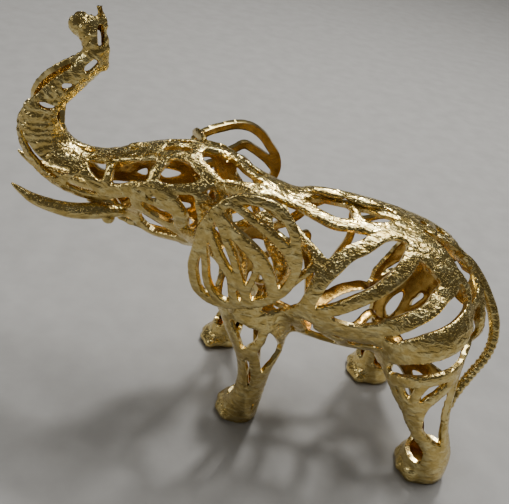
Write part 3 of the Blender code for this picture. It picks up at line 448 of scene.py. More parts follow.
# %% Straps of the head
HEAD_STRAPS = {
    "forehead": ([(-150, -3, 160), (-137, -4, 163), (-127, -5, 166), (-117, -5, 170)], (4.2, 3.2, 3.0)),
    "crown": ([(-127, -3, 167), (-112, 0, 174), (-102, 0, 176), (-96, -4, 175), (-93, -13, 173),
               (-86, -19, 168)], (2.2, 2.0, 2.8)),
    "ring top": ([(-155, -5, 158), (-140, -7, 161), (-126, -9, 166), (-115, -10, 170), (-107, -9, 172),
                  (-98, -11, 173), (-92, -16, 171), (-84, -19, 169)], (3.0, 3.0, 3.3)),
    "ring front": ([(-112, -13, 168), (-115, -17, 165), (-116, -20, 159),
                    (-116, -22, 154)], (2.6, 2.7, 3.0)),
    "temple": ([(-167, -15, 149), (-158, -13, 152), (-148, -16, 146), (-136, -18, 147), (-125, -20, 153),
                (-115, -22, 155), (-105, -24, 158), (-94, -24, 161), (-85, -21, 165)], (2.8, 2.6, 3.4)),
    "cheek": ([(-112, -22, 156), (-106, -24, 153), (-102, -25, 149), (-98, -26, 143),
               (-97, -22, 131)], (3.6, 4.4, 4.4)),
    "eye": ([(-129, -20, 150), (-122, -22, 149), (-112, -23, 148), (-103, -25, 146)], (2.6, 3.7, 3.4)),
    "cheek low": ([(-125, -20, 142), (-116, -18, 134), (-107, -18, 131),
                   (-98, -21, 130)], (2.8, 3.3, 4.0)),
    "jaw": ([(-129, -10, 127), (-123, -11, 123), (-115, -11, 118), (-106, -14, 119), (-96, -17, 121),
             (-88, -12, 115)], (2.6, 3.0, 3.2)),
    "mouth": ([(-129, -20, 150), (-125, -21, 146), (-124, -19, 138), (-128, -10, 126)], (2.4, 2.4, 3.0)),
    "lip": ([(-152, -9, 131), (-140, -8, 126), (-134, -10, 126), (-126, -16, 135)], (2.8, 2.8, 2.8)),
    "throat": ([(-89, -23, 163), (-88, -27, 154), (-85, -27, 143), (-88, -22, 129),
                (-95, -21, 126)], (2.6, 2.4, 4.4)),
    "throat back": ([(-79, -21, 164), (-77, -24, 158), (-79, -27, 150),
                     (-83, -27, 138)], (3.2, 2.8, 3.6)),
    "snout ridge": ([(-171, -9, 160), (-162, -10, 156), (-165, -15, 148),
                     (-170, -14, 139)], (3.2, 2.6, 2.8)),
    "snout bar": ([(-144, -3, 161), (-142, -11, 157), (-142, -15, 151),
                   (-145, -16, 144)], (2.5, 2.2, 2.8)),
    "snout link": ([(-159, -8, 156), (-155, -13, 152), (-150, -15, 148),
                    (-147, -16, 143)], (2.8, 1.9, 2.6)),
    "snout edge": ([(-196, -7, 175), (-193, -7, 163), (-187, -10, 153), (-177, -13, 143),
                    (-166, -14, 138), (-156, -15, 136), (-147, -15, 136), (-138, -17, 142),
                    (-127, -20, 149)], (3.4, 3.2, 2.8)),
    "chin": ([(-152, -8, 131), (-147, -2, 125), (-134, 0, 115), (-120, 0, 112), (-104, 0, 110),
              (-94, -10, 112)], (2.4, 2.4, 2.8)),
    "trunk": ([(-165, -9, 155), (-179, -9, 166), (-183, -8, 181), (-174, -7, 194), (-164, -5, 205),
               (-153, -4, 214), (-156, -3, 224), (-163, -2, 230)], (10.0, 13.5, 10.0)),
}
print(len(HEAD_STRAPS), "straps on the head and trunk")

# %% Straps of the legs
LEG_STRAPS = {
    "fore": {
        "plate": ([(-72, -29, 96), (-60, -42, 99), (-50, -44, 99)], (4.4, 5.6, 4.6)),
        "front": ([(-64, -38, 90), (-57, -41, 78), (-53, -40, 66), (-49, -37, 52), (-47, -34, 32),
                   (-52, -32, 15)], (4.6, 3.8, 6.0)),
        "bridge": ([(-51, -44, 97), (-42, -42, 97), (-34, -38, 100), (-26, -41, 107)], (3.2, 2.6, 3.8)),
        "ring": ([(-48, -45, 95), (-38, -42, 94), (-30, -36, 84), (-26, -28, 70), (-29, -33, 63),
                  (-32, -36, 57), (-33, -34, 45), (-33, -31, 29), (-34, -27, 14)], (2.6, 2.9, 4.4)),
        "cross": ([(-41, -43, 94), (-40, -44, 85), (-44, -44, 76), (-50, -41, 67)], (2.8, 2.8, 3.5)),
        "mid": ([(-45, -44, 75), (-41, -42, 62), (-38, -37, 45), (-39, -34, 31),
                 (-42, -33, 16)], (3.4, 3.6, 5.0)),
        "inside": ([(-46, -8, 86), (-44, -14, 70), (-41, -17, 50), (-41, -16, 32),
                    (-45, -13, 14)], (3.2, 2.8, 5.0)),
        "crotch": ([(-46, -8, 86), (-46, 0, 83)], (3.0, 3.0, 3.0)),
    },
    "hind": {
        "band": ([(71, -41, 93), (56, -52, 89), (44, -53, 84), (34, -48, 77)], (3.6, 3.6, 4.2)),
        "front": ([(31, -47, 96), (27, -43, 88), (30, -43, 80), (35, -47, 73), (40, -49, 67),
                   (48, -51, 60), (54, -52, 52)], (3.8, 2.6, 3.6)),
        "slat": ([(36, -49, 82), (41, -51, 75), (46, -52, 68), (51, -52, 60)], (1.8, 1.8, 2.4)),
        "mid": ([(54, -53, 88), (51, -54, 78), (50, -53, 67), (53, -52, 55)], (2.4, 2.7, 3.0)),
        "cross": ([(72, -38, 90), (65, -49, 81), (59, -53, 73), (56, -53, 64),
                   (57, -52, 51)], (3.2, 3.4, 4.6)),
        "shin": ([(52, -51, 53), (62, -51, 43), (74, -50, 32), (78, -51, 18)], (3.4, 4.8, 8.0)),
        "heel": ([(76, -32, 92), (76, -38, 80), (76, -40, 70), (76, -43, 59), (78, -46, 48),
                  (82, -46, 36), (88, -42, 16)], (2.8, 2.6, 5.4)),
        "inside": ([(30, 0, 70), (37, -14, 73), (46, -16, 68), (58, -20, 52), (66, -25, 34),
                    (70, -25, 16)], (2.8, 2.8, 5.0)),
        "inside back": ([(46, -15, 68), (58, -15, 67), (68, -21, 66), (74, -32, 68),
                         (76, -38, 70)], (4.0, 4.4, 3.0)),
        "crotch": ([(46, -16, 68), (42, 0, 72)], (2.6, 2.6, 2.6)),
    },
}
print({leg: len(straps) for leg, straps in LEG_STRAPS.items()}, "straps on the legs")

# %% Openings cut into plates
# Openings cut into plates: points near the skin and half widths, each on its own side
HOLES = {
    "slot low": ([(-198, -4, 172), (-194, -4, 184), (-182, -4, 200)], (3.4, 5.4, 4.8)),
    "slot high": ([(-184, -4, 199), (-174, -3, 207), (-163, -2, 215)], (4.8, 4.4, 3.0)),
    "slit": ([(-181, -10, 185), (-174, -8, 183)], (1.5, 2.0, 1.5)),
    "slit right": ([(-189, 10, 174), (-180, 11, 173)], (3.0, 3.4, 3.0)),
    "round": ([(-168, -8, 196), (-165, -8, 196)], (2.2, 2.4, 2.2)),
    "round right": ([(-174, 9, 188), (-171, 9, 190)], (3.4, 3.6, 3.4)),
    "oblong": ([(-153, -6, 211), (-157, -6, 207)], (2.2, 2.3, 2.2)),
    "oblong right": ([(-156, 7, 206), (-161, 7, 201)], (3.2, 3.4, 3.2)),
    "tall": ([(-152, -3, 229), (-151, -4, 226), (-150, -5, 222)], (1.4, 2.0, 2.2)),
    "tall right": ([(-153, 6, 225), (-153, 6, 221), (-153, 6, 217)], (2.4, 2.8, 2.6)),
    "lozenge": ([(-178, -14, 151), (-172, -15, 149), (-165, -15, 150)], (1.6, 3.0, 1.6)),
    "lozenge right": ([(-181, 9, 141), (-173, 11, 138)], (3.0, 3.4, 3.0)),
    "nostril": ([(-170, 0, 229), (-165, 0, 234), (-162, 0, 241)], (4.4, 4.0, 1.6)),
}
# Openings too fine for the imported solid: the lids round the eye, the slots of the cheek and the jaw, and the
# edge of the slot in front of the trunk
FINE_HOLES = {
    "eye front": ([(-123, -21, 151), (-121, -21, 151), (-118.5, -22, 149.5)], (0.5, 0.8, 0.5)),
    "eye top": ([(-117.5, -22, 153), (-116, -22, 152.5), (-114, -22, 151.5)], (0.5, 0.7, 0.5)),
    "eye back": ([(-116, -22, 148), (-114, -23, 149), (-111, -23, 149)], (0.6, 1.1, 0.6)),
    "cheek slot": ([(-116, -22, 141), (-111, -22, 140), (-107, -23, 140)], (0.7, 1.2, 1.3)),
    "trunk slot edge": ([(-197, -8, 176), (-190, -9, 188), (-181, -8, 197),
                         (-168, -7, 208)], (1.5, 4.0, 2.0)),
    "jaw slot": ([(-120, -13, 128), (-114, -14, 126), (-109, -16, 126)], (0.7, 1.4, 1.1)),
}
print(len(HOLES) + len(FINE_HOLES), "openings")

# %% Tusks, tail, ears and leaves
# Bars that stand free of the skin: stations as (x, y, z, radius)
TUSK = [(-133, -8, 127, 2.4), (-140, -10, 128, 4.8), (-148, -13, 127.5, 5.2), (-157, -16, 126.5, 4.9),
        (-165, -17, 126.5, 4.4), (-174, -17, 127.5, 4.0), (-184, -17, 129, 3.2), (-191, -16, 132.5, 2.2),
        (-196, -16, 136, 0.6)]
TUSK_LEAD = -10           # the right tusk reaches this much further, for the head is turned a little
TUSK_RISE = 3             # and its tip stands this much higher
TAIL = [(56, 0, 142, 2.0), (64, 0, 140.5, 3.0), (74, -1, 131, 3.1), (83, -4, 120, 3.2), (91, -8, 108, 3.3),
        (94, -12, 96, 3.3), (93, -16, 86, 3.3), (88, -20, 76, 3.4), (81, -26, 64, 3.6), (77, -32, 54, 3.4),
        (77, -40, 44, 2.0)]

# Ears: the middle of each sheet, how far its back edge flares out, then the sheet itself
EAR_MIDDLE = {"left": (-59, 45, 142), "right": (-78, 41, 142)}
EAR_FLARE = {"left": 6, "right": 30}
EAR_HALF = 33, 40         # half length and half height of the sheet that the rim is cut from
EAR_DOME = 6              # bulge of the sheet
EAR_LEAN = 0.5            # share of the bulge that also lifts it
EAR_RIM = {
    "left": [(2, 33), (11, 32), (18, 27), (23, 20), (26, 11), (28, 2), (27, -8), (24, -17), (18, -24),
             (11, -29), (0, -34), (-9, -36), (-16, -35), (-22, -31), (-25, -23), (-26, -15), (-25, -7), (-24, 1),
             (-23, 9), (-19, 18), (-14, 26), (-7, 31)],
    "right": [(-29, 24), (-22, 27), (-13, 28), (-3, 29), (7, 27), (16, 21), (22, 14), (27, 8), (29, 1),
              (28, -7), (23, -17), (16, -25), (7, -30), (-3, -32), (-12, -29), (-19, -22), (-24, -13), (-27, -3),
              (-29, 8), (-30, 17)],
}
EAR_RIM_WIDTHS = 2.6, 2.8, 2.6
EAR_RIBS = {
    "left": [([(-20, 14), (-21, 1), (-19, -11), (-17, -23), (-13, -30), (-7, -35)], (2.0, 1.9, 2.2)),
             ([(-20, 11), (-14, -1), (-9, -9), (-4, -16), (-2, -25), (0, -33)], (2.2, 2.3, 2.5)),
             ([(-17, 21), (-10, 7), (-5, -2), (-1, -11), (2, -19), (7, -30)], (2.0, 2.0, 2.4)),
             ([(-17, 21), (-7, 12), (2, 6), (10, -1), (16, -10), (20, -21)], (2.6, 3.8, 3.0)),
             ([(-11, 28), (-2, 24), (7, 19), (14, 15), (21, 10), (26, 3)], (2.0, 2.2, 3.0)),
             ([(3, 4), (8, -2), (8, -11), (6, -21), (6, -30)], (2.0, 1.6, 1.9))],
    "right": [([(-28, 13), (-20, 11), (-8, 7), (0, 10), (6, 13), (14, 9), (22, 4),
               (28, -1)], (2.0, 2.4, 2.8)),
              ([(-28, 0), (-14, 1), (-3, 0), (5, 1), (13, -5), (18, -11), (22, -18)], (2.0, 3.4, 3.0)),
              ([(-24, -13), (-10, -15), (2, -23), (5, -31)], (2.2, 2.0, 2.4))],
}
# Straps from the head and the shoulder to an ear, flat bars as (x, y, z, half thickness)
BROAD = 1.2               # their half width over their half thickness, less one
EAR_ROOTS = [[(-82, -20, 164, 1.2), (-77, -23, 165, 1.8), (-71, -28, 168, 1.8), (-64, -34, 172, 1.7),
              (-56, -41, 173, 1.5), (-48, -46, 171, 1.4), (-42, -47, 166, 0.6)],
             [(-98, -20, 131, 1.0), (-92, -27, 133, 1.9), (-86, -37, 138, 1.9), (-81, -45, 146, 1.6),
              (-80, -46, 152, 0.6)],
             [(-62, -40, 98, 0.8), (-60, -43, 103, 1.9), (-59, -45, 108, 1.9), (-59, -46, 112, 0.6)],
             [(-94, 8, 173, 1.2), (-98, 15, 174, 1.8), (-102, 22, 172, 1.8), (-104, 27, 168, 0.9)],
             [(-97, 20, 140, 1.2), (-100, 24, 141, 1.9), (-104, 29, 142, 1.0)],
             [(-72, 34, 95, 0.8), (-74, 38, 101, 1.9), (-77, 42, 108, 1.9), (-77, 43, 112, 0.6)]]
# Raised leaves and knobs: centre, length width height, tilt
LEAVES = [((-21, 0, 162.5), (21, 7, 5), 2), ((-1, 0, 161.5), (24, 7, 5), 4),
          ((-124, 0, 167), (22, 6, 5), -4), ((-141, -12, 124), (8, 7, 8), 0)]
print({side: len(ribs) for side, ribs in EAR_RIBS.items()}, "ribs in the ears")

# %% [markdown]
# ## Skin
# Blender sweeps each row of stations into a round bar, and a voxel remesh melts all of them into one closed
# skin, the way clay is blended with a thumb. A smoothing pass takes away the steps of the voxels. The trunk gets
# finer cells for its wrinkles, and each point of the skin remembers which way it faces.

# %% Placing points and sweeping bars


def mirrored(point, leg=None):
    """The right-hand twin of a point, swung forward below SWING_TOP where it is on a leg."""
    x, y, z = point[:3]
    share = min(1.0, max(0.0, (SWING_TOP - z) / (SWING_TOP - SWING_FOOT)))
    swing = LEG_SWING[leg] * share if leg else 0.0
    spread = LEG_SPREAD[leg] * share if leg else 0.0
    return (x + swing, spread - y, z) + tuple(point[3:])


def place(point):
    """A point of the pose, in metres."""
    return Vector((point[0] - CENTRE_X, point[1], point[2] - SOLE_HEIGHT)) * UNIT


def linked(name, mesh):
    ob = bpy.data.objects.new(name, mesh)
    bpy.context.scene.collection.objects.link(ob)
    return ob


def evaluated(ob, name):
    """The object with its modifiers taken into a mesh of its own."""
    depsgraph = bpy.context.evaluated_depsgraph_get()
    mesh = bpy.data.meshes.new_from_object(ob.evaluated_get(depsgraph))
    bpy.data.objects.remove(ob, do_unlink=True)
    return linked(name, mesh)


def swept(stations, steps=6, sides=6, broad=0.0):
    """A round or flattened bar through the stations."""
    curve = bpy.data.curves.new("bar", 'CURVE')
    curve.dimensions = '3D'
    curve.twist_mode = 'Z_UP'
    curve.extrude = broad
    curve.bevel_depth = 1.0
    curve.bevel_resolution = sides
    curve.use_fill_caps = True
    spline = curve.splines.new('NURBS')
    spline.points.add(len(stations) - 1)
    spline.order_u = min(4, len(stations))
    spline.use_endpoint_u = True
    spline.resolution_u = steps
    for knot, (x, y, z, radius) in zip(spline.points, stations):
        knot.co = (*place((x, y, z)), 1)
        knot.radius = radius * UNIT
    return evaluated(linked("bar", curve), "bar")


print("the trunk's finger ends at", [round(a, 4) for a in place(MASSES["finger"][-1])])

# %% The whole skin


def all_masses():
    rows = list(MASSES.values())
    for leg, stations in LEGS.items():
        rows.append(stations)
        rows.append([mirrored(s, leg) for s in stations])
    return rows


def toes():
    """Balls round the front of each foot, as (centre, radius)."""
    balls = []
    for leg, (x, y, z) in FEET.items():
        reach, radius = TOE[leg]
        for n in range(TOES):
            angle = math.radians((n - (TOES - 1) / 2) * TOE_SPREAD)
            toe = (x - reach * math.cos(angle), y - reach * math.sin(angle), z)
            balls.append((toe, radius))
            balls.append((mirrored(toe, leg), radius))
    return balls


LOWEST_BALL = 20          # ends of a mass above this height are rounded, those below stay flat for the soles


def whole_skin():
    """The elephant before piercing, as a bmesh."""
    bm = bmesh.new()
    balls = toes()
    for stations in all_masses():
        bar = swept(stations)
        bm.from_mesh(bar.data)
        bpy.data.objects.remove(bar, do_unlink=True)
        balls += [(end[:3], end[3]) for end in (stations[0], stations[-1]) if end[2] > LOWEST_BALL]
    for centre, radius in balls:
        spot = Matrix.Translation(place(centre))
        bmesh.ops.create_uvsphere(bm, u_segments=24, v_segments=14, radius=radius * UNIT, matrix=spot)
    mesh = bpy.data.meshes.new("skin")
    bm.to_mesh(mesh)
    bm.free()
    ob = linked("skin", mesh)
    melt = ob.modifiers.new("melt together", 'REMESH')
    melt.mode = 'VOXEL'
    melt.voxel_size = SKIN_CELL
    smooth = ob.modifiers.new("smooth", 'SMOOTH')
    smooth.factor = 0.5
    smooth.iterations = round(12 * (0.0025 / SKIN_CELL) ** 2)
    ob = evaluated(ob, "skin")
    bm = bmesh.new()
    bm.from_mesh(ob.data)
    bpy.data.objects.remove(ob, do_unlink=True)
    for v in bm.verts:
        v.co.z = max(v.co.z, 0.0)
    return bm


def finer_trunk(bm):
    """Halve the cells of the trunk, so that its wrinkles come out clean."""
    start = place((TRUNK_START, 0, 0)).x
    edges = [e for e in bm.edges if max(v.co.x for v in e.verts) < start]
    bmesh.ops.subdivide_edges(bm, edges=edges, cuts=1, use_grid_fill=True)
    inner = [v for v in bm.verts if v.co.x < start]
    for _ in range(2):
        bmesh.ops.smooth_vert(bm, verts=inner, factor=0.5, use_axis_x=True, use_axis_y=True, use_axis_z=True)


def keep_directions(bm):
    """Each point keeps the direction in which the whole skin faces there, for the relief and the wall."""
    bm.normal_update()
    layer = bm.verts.layers.float_vector.new("facing")
    for v in bm.verts:
        v[layer] = v.normal
    return layer


MASSES["finger"][-1] = FINE_TIP
SKIN = whole_skin()
TREE = BVHTree.FromBMesh(SKIN)
finer_trunk(SKIN)
FACING = keep_directions(SKIN)
print("skin:", len(SKIN.verts), "points")

# %% [markdown]
# ## Piercing
# Every point of the skin is asked how far it is from the nearest strap: below zero is metal, above zero is air.
# The skin is then cut along the zero line. This keeps the edges smooth however coarse the mesh is, which
# cutting with hundreds of boolean shapes wouldn't, and the cut line is then drawn out a little smoother.

# %% How far a point is from the metal


def smooth_line(points, steps=6):
    """A Catmull-Rom curve through the points, as an array."""
    p = np.array(points, float)
    p = np.vstack([2 * p[0] - p[1], p, 2 * p[-1] - p[-2]])
    out = []
    for a, b, c, d in zip(p, p[1:], p[2:], p[3:]):
        for t in np.arange(steps) / steps:
            out.append(0.5 * (2 * b + (c - a) * t + (2 * a - 5 * b + 4 * c - d) * t ** 2
                              + (3 * b - 3 * c + d - a) * t ** 3))
    out.append(p[-2])
    return np.array(out)


def strap_rows():
    """Every strap of both sides, as (points, widths) in pose units."""
    rows = list(LEFT_STRAPS.values()) + list(RIGHT_STRAPS.values())
    groups = [(None, BODY_STRAPS), (None, HEAD_STRAPS)] + list(LEG_STRAPS.items())
    for leg, straps in groups:
        for points, widths in straps.values():
            rows.append((points, widths))
            if leg or any(p[1] for p in points):
                rows.append(([mirrored(p, leg) for p in points], widths))
    return rows


def drawn(points, widths, tree):
    """A strap as points on the skin with a half width at each, in metres."""
    line = smooth_line([place(p) for p in points])
    if tree is not None:
        line = np.array([tree.find_nearest(Vector(p))[0] for p in line])
    run = np.linspace(0, 1, len(line))
    return line, np.interp(run, (0, 0.5, 1), widths) * UNIT


def strap_distance(co, line, width):
    """Distance from each point to the strap's edge: negative on the strap."""
    best = np.full(len(co), 1.0)
    reach = width.max() + 6 * FILLET
    near = ((co > line.min(0) - reach) & (co < line.max(0) + reach)).all(1)
    pts = co[near]
    if not len(pts):
        return best
    low = np.full(len(pts), 1.0)
    for a, b, wa, wb in zip(line, line[1:], width, width[1:]):
        ab = b - a
        t = np.clip(((pts - a) @ ab) / max(ab @ ab, 1e-12), 0, 1)
        gap = np.linalg.norm(pts - a - t[:, None] * ab, axis=1)
        low = np.minimum(low, gap - (wa + (wb - wa) * t))
    best[near] = low
    return best


def run_together(distances):
    """The smallest distance, with the corners between straps filled by a web."""
    total = np.zeros(len(distances[0]))
    for d in distances:
        total += np.exp(-np.clip(d, -0.05, 0.05) / FILLET)
    return -FILLET * np.log(np.maximum(total, 1e-300))


def body_field(co):
    """Distance to the metal of the body for each point of the skin."""
    straps = [strap_distance(co, *drawn(p, w, TREE)) for p, w in strap_rows()]
    for leg, foot in FEET.items():
        for centre in (foot, mirrored(foot, leg)):
            gap = (co - np.array(place(centre))) * (1, 1, FOOT_SQUASH)
            straps.append(np.linalg.norm(gap, axis=1) - FOOT_CLOSED[leg] * UNIT)
    metal = run_together(straps)
    for points, widths in list(HOLES.values()) + list(FINE_HOLES.values()):
        metal = np.maximum(metal, -strap_distance(co, *drawn(points, widths, TREE)))
    return metal


print(len(strap_rows()), "straps on both sides")

# %% Cutting along the zero line


def pierce(bm, field):
    """Keep the metal of a sheet. Each point keeps its distance to the nearest cut in a layer."""
    bmesh.ops.triangulate(bm, faces=bm.faces)
    bm.verts.index_update()
    value = field(np.array([v.co for v in bm.verts]))
    split = {}
    for e in bm.edges:
        a, b = (value[v.index] for v in e.verts)
        if a * b < 0:
            split[e] = float(np.clip(a / (a - b), 0.02, 0.98))
    layer = bm.verts.layers.float.new("to edge")
    for v in bm.verts:
        v[layer] = value[v.index]
    cut = bmesh.ops.bisect_edges(bm, edges=list(split), cuts=1, edge_percents=split)
    fresh = [g for g in cut["geom_split"] if isinstance(g, bmesh.types.BMVert)]
    for v in fresh:
        v[layer] = 0.0
    bmesh.ops.connect_verts(bm, verts=fresh)
    gone = [f for f in bm.faces if sum(v[layer] for v in f.verts) > 0]
    bmesh.ops.delete(bm, geom=gone, context='FACES')
    bmesh.ops.triangulate(bm, faces=bm.faces)
    return layer


def islands(bm):
    """The sheets of a bmesh that don't touch each other, the smallest first."""
    left = set(bm.faces)
    groups = []
    while left:
        stack = [left.pop()]
        group = []
        while stack:
            f = stack.pop()
            group.append(f)
            for e in f.edges:
                for g in e.link_faces:
                    if g in left:
                        left.discard(g)
                        stack.append(g)
        groups.append(group)
    return sorted(groups, key=len)


def keep_largest(bm):
    """Drop the scraps that touch nothing."""
    groups = islands(bm)
    for group in groups[:-1]:
        bmesh.ops.delete(bm, geom=group, context='FACES')
    return [len(group) for group in groups]


def even_edges(bm, rounds=3):
    """Draw the cut edges out into smooth lines."""
    for _ in range(rounds):
        moves = {}
        for v in bm.verts:
            ends = [e.other_vert(v).co for e in v.link_edges if e.is_boundary]
            if len(ends) == 2:
                moves[v] = v.co * 0.5 + (ends[0] + ends[1]) * 0.25
        for v, spot in moves.items():
            v.co = spot


TO_EDGE = pierce(SKIN, body_field)
print("sheets after piercing:", keep_largest(SKIN))
even_edges(SKIN)

# %% [markdown]
# ## Relief
# The relief is real geometry, because the edge of a strap shows against the light. Straps are highest in the
# middle and roll off to their cut edges. The trunk has crosswise wrinkles, deep in front. Everything else has
# slow dents from the hand that shaped the wax.

# %% Relief functions
ROLL = 0.0011             # metres over which a strap rolls off to its edge
ROLL_DEPTH = 0.0007       # metres that the edge lies lower
DENT_SIZE, DENT_DEPTH = 0.006, 0.0005
DENT_LENGTHWAYS = 0.6     # the dents are longer along the body by one over this
WRINKLE_PITCH, WRINKLE_DEPTH = 0.0046, 0.0016


def rolled(depth_inside):
    """How much lower the skin lies at this distance inside the edge."""
    share = max(0.0, 1 - depth_inside / ROLL)
    return ROLL_DEPTH * (1 - math.sqrt(max(0.0, 1 - share * share)))


def dents(co):
    """Slow dents, always inwards."""
    spot = Vector((co.x * DENT_LENGTHWAYS, co.y, co.z)) / DENT_SIZE
    return DENT_DEPTH * abs(noise.noise(spot) + 0.5 * noise.noise(spot * 2.1))


TRUNK_LINE = smooth_line([place(p) for p in MASSES["trunk"]], steps=12)
TRUNK_RUN = np.concatenate([[0], np.cumsum(np.linalg.norm(np.diff(TRUNK_LINE, axis=0), axis=1))])


def along_trunk(co):
    """How far along the trunk a point is, and how near the trunk's axis."""
    gaps = np.linalg.norm(TRUNK_LINE - np.array(co), axis=1)
    i = int(gaps.argmin())
    return TRUNK_RUN[i], gaps[i]


print("trunk is", round(float(TRUNK_RUN[-1]), 3), "m along its curve")

# %% Relief on the body
WRINKLE_REACH = 0.019     # metres from the trunk's axis
WRINKLE_START = 0.02      # metres along the trunk, over which the wrinkles also grow deeper
WOBBLE, WOBBLE_SIZE = 0.7, 0.011          # share of the pitch and metres
UNEVEN, UNEVEN_SIZE = 0.45, 0.014         # share of the depth and metres
CREST = 0.8               # below one, the crests are sharper than the hollows
FOLD_MARGIN = 0.0015      # metres inside a cut edge where a fold reaches its depth


def wrinkles(co):
    """Crosswise folds of the trunk, always inwards."""
    run, gap = along_trunk(co)
    if gap > WRINKLE_REACH or run < WRINKLE_START or co.x > place((TRUNK_START, 0, 0)).x:
        return 0.0
    wobble = WOBBLE * noise.noise(co / WOBBLE_SIZE)
    wave = abs(math.sin(math.pi * (run / WRINKLE_PITCH + wobble)))
    strength = 1 - UNEVEN + UNEVEN * noise.noise(co / UNEVEN_SIZE)
    return WRINKLE_DEPTH * wave ** CREST * strength * min(1.0, (run - WRINKLE_START) / WRINKLE_START)


def carve(bm, layer, facing):
    """Push every point inwards by its share of the relief."""
    moves = []
    for v in bm.verts:
        inside = -v[layer]
        fold = wrinkles(v.co) * min(1.0, inside / FOLD_MARGIN)
        moves.append(v[facing].normalized() * -(rolled(inside) + dents(v.co) + fold))
    for v, move in zip(bm.verts, moves):
        if v.co.z > FLAT_SOLE:
            v.co += move


carve(SKIN, TO_EDGE, FACING)
print("carved", len(SKIN.verts), "points")

# %% [markdown]
# ## Wall
# A casting of this kind is hollow with a wall of two to three millimetres. The sheet is copied inwards along the
# directions of the whole skin, and a rim joins the two along every cut. The inner face and the rim get materials
# of their own, because they were finished in different ways.

# %% Wall


def walled(bm, name, wall, facing):
    """A sheet with its wall inwards, as an object with outside, inside and edge materials."""
    outer = set(bm.faces)
    grown = bmesh.ops.extrude_face_region(bm, geom=list(bm.faces), use_keep_orig=True)
    inner = {g for g in grown["geom"] if isinstance(g, bmesh.types.BMVert)}
    for v in inner:
        v.co -= v[facing].normalized() * wall
        v.co.z = max(v.co.z, FLAT_SOLE)
    for f in bm.faces:
        if f not in outer:
            f.material_index = 1 if all(v in inner for v in f.verts) else 2
    bmesh.ops.recalc_face_normals(bm, faces=bm.faces)
    mesh = bpy.data.meshes.new(name)
    for metal in (OUTSIDE, INSIDE, EDGE):
        mesh.materials.append(metal)
    bm.to_mesh(mesh)
    bm.free()
    return linked(name, mesh)


BODY = walled(SKIN, "cast_body", WALL, FACING)
print("walled body:", len(BODY.data.polygons), "faces")

# %% [markdown]
# ## Ears
# Each ear is a domed sheet, pierced in the same way by a rim and its ribs. The right ear flares further
# out, because the head is turned a little.

# %% Ears
EAR_GRID = 90


def ear_point(u, v, side):
    """A point of an ear: u runs backwards and v upwards from the middle, in pose units."""
    x, y, z = EAR_MIDDLE[side]
    flare = math.radians(EAR_FLARE[side])
    out = EAR_DOME * (1 - (u / EAR_HALF[0]) ** 2 - (v / EAR_HALF[1]) ** 2)
    x += u * math.cos(flare) - out * math.sin(flare)
    y += u * math.sin(flare) + out * math.cos(flare)
    return (x, y if side == "right" else -y, z + v + EAR_LEAN * out)


def ear(side):
    bm = bmesh.new()
    bmesh.ops.create_grid(bm, x_segments=EAR_GRID, y_segments=EAR_GRID, size=1.0)
    for v in bm.verts:
        v.co = place(ear_point(v.co.x * EAR_HALF[0], v.co.y * EAR_HALF[1], side))
    rows = [(EAR_RIM[side] + EAR_RIM[side][:1], EAR_RIM_WIDTHS)] + EAR_RIBS[side]
    lines = [drawn([ear_point(u, v, side) for u, v in row], widths, None) for row, widths in rows]
    bm.normal_update()
    outwards = 1 if side == "right" else -1
    if sum(f.normal.y * f.calc_area() for f in bm.faces) * outwards < 0:
        bmesh.ops.reverse_faces(bm, faces=bm.faces)
    facing = keep_directions(bm)
    layer = pierce(bm, lambda co: run_together([strap_distance(co, *line) for line in lines]))
    keep_largest(bm)
    even_edges(bm)
    moves = [v[facing].normalized() * (EAR_WALL / 2 - rolled(-v[layer]) - dents(v.co)) for v in bm.verts]
    for v, move in zip(bm.verts, moves):
        v.co += move
    return walled(bm, "cast_ear_" + side, EAR_WALL, facing)


EARS = [ear("left"), ear("right")]
print("ears:", [len(e.data.polygons) for e in EARS], "faces")

# %% [markdown]
# ## Bars
# Tusks, tail and the roots of the ears are solid bars. They taper from station to station, and their ends are
# buried in the straps that carry them. The lower tail is ribbed like a twisted cord.

# %% Bars
TAIL_RIB_PITCH, TAIL_RIB_DEPTH = 0.0034, 0.0007
TAIL_RIBS_FROM = 0.45     # share of the tail's length where its ribs begin
RIBS_GROW = 0.1           # share of the length over which they grow to their depth
BAR_DENT = 0.6            # a bar's dents are this much as deep as the skin's
SHARP = 0.8               # radians between two faces of a flat bar whose edge gets rounded
ROUND_EDGE = 0.0006       # metres
LONG_EDGE = 0.002         # metres; longer edges of a flat bar are halved


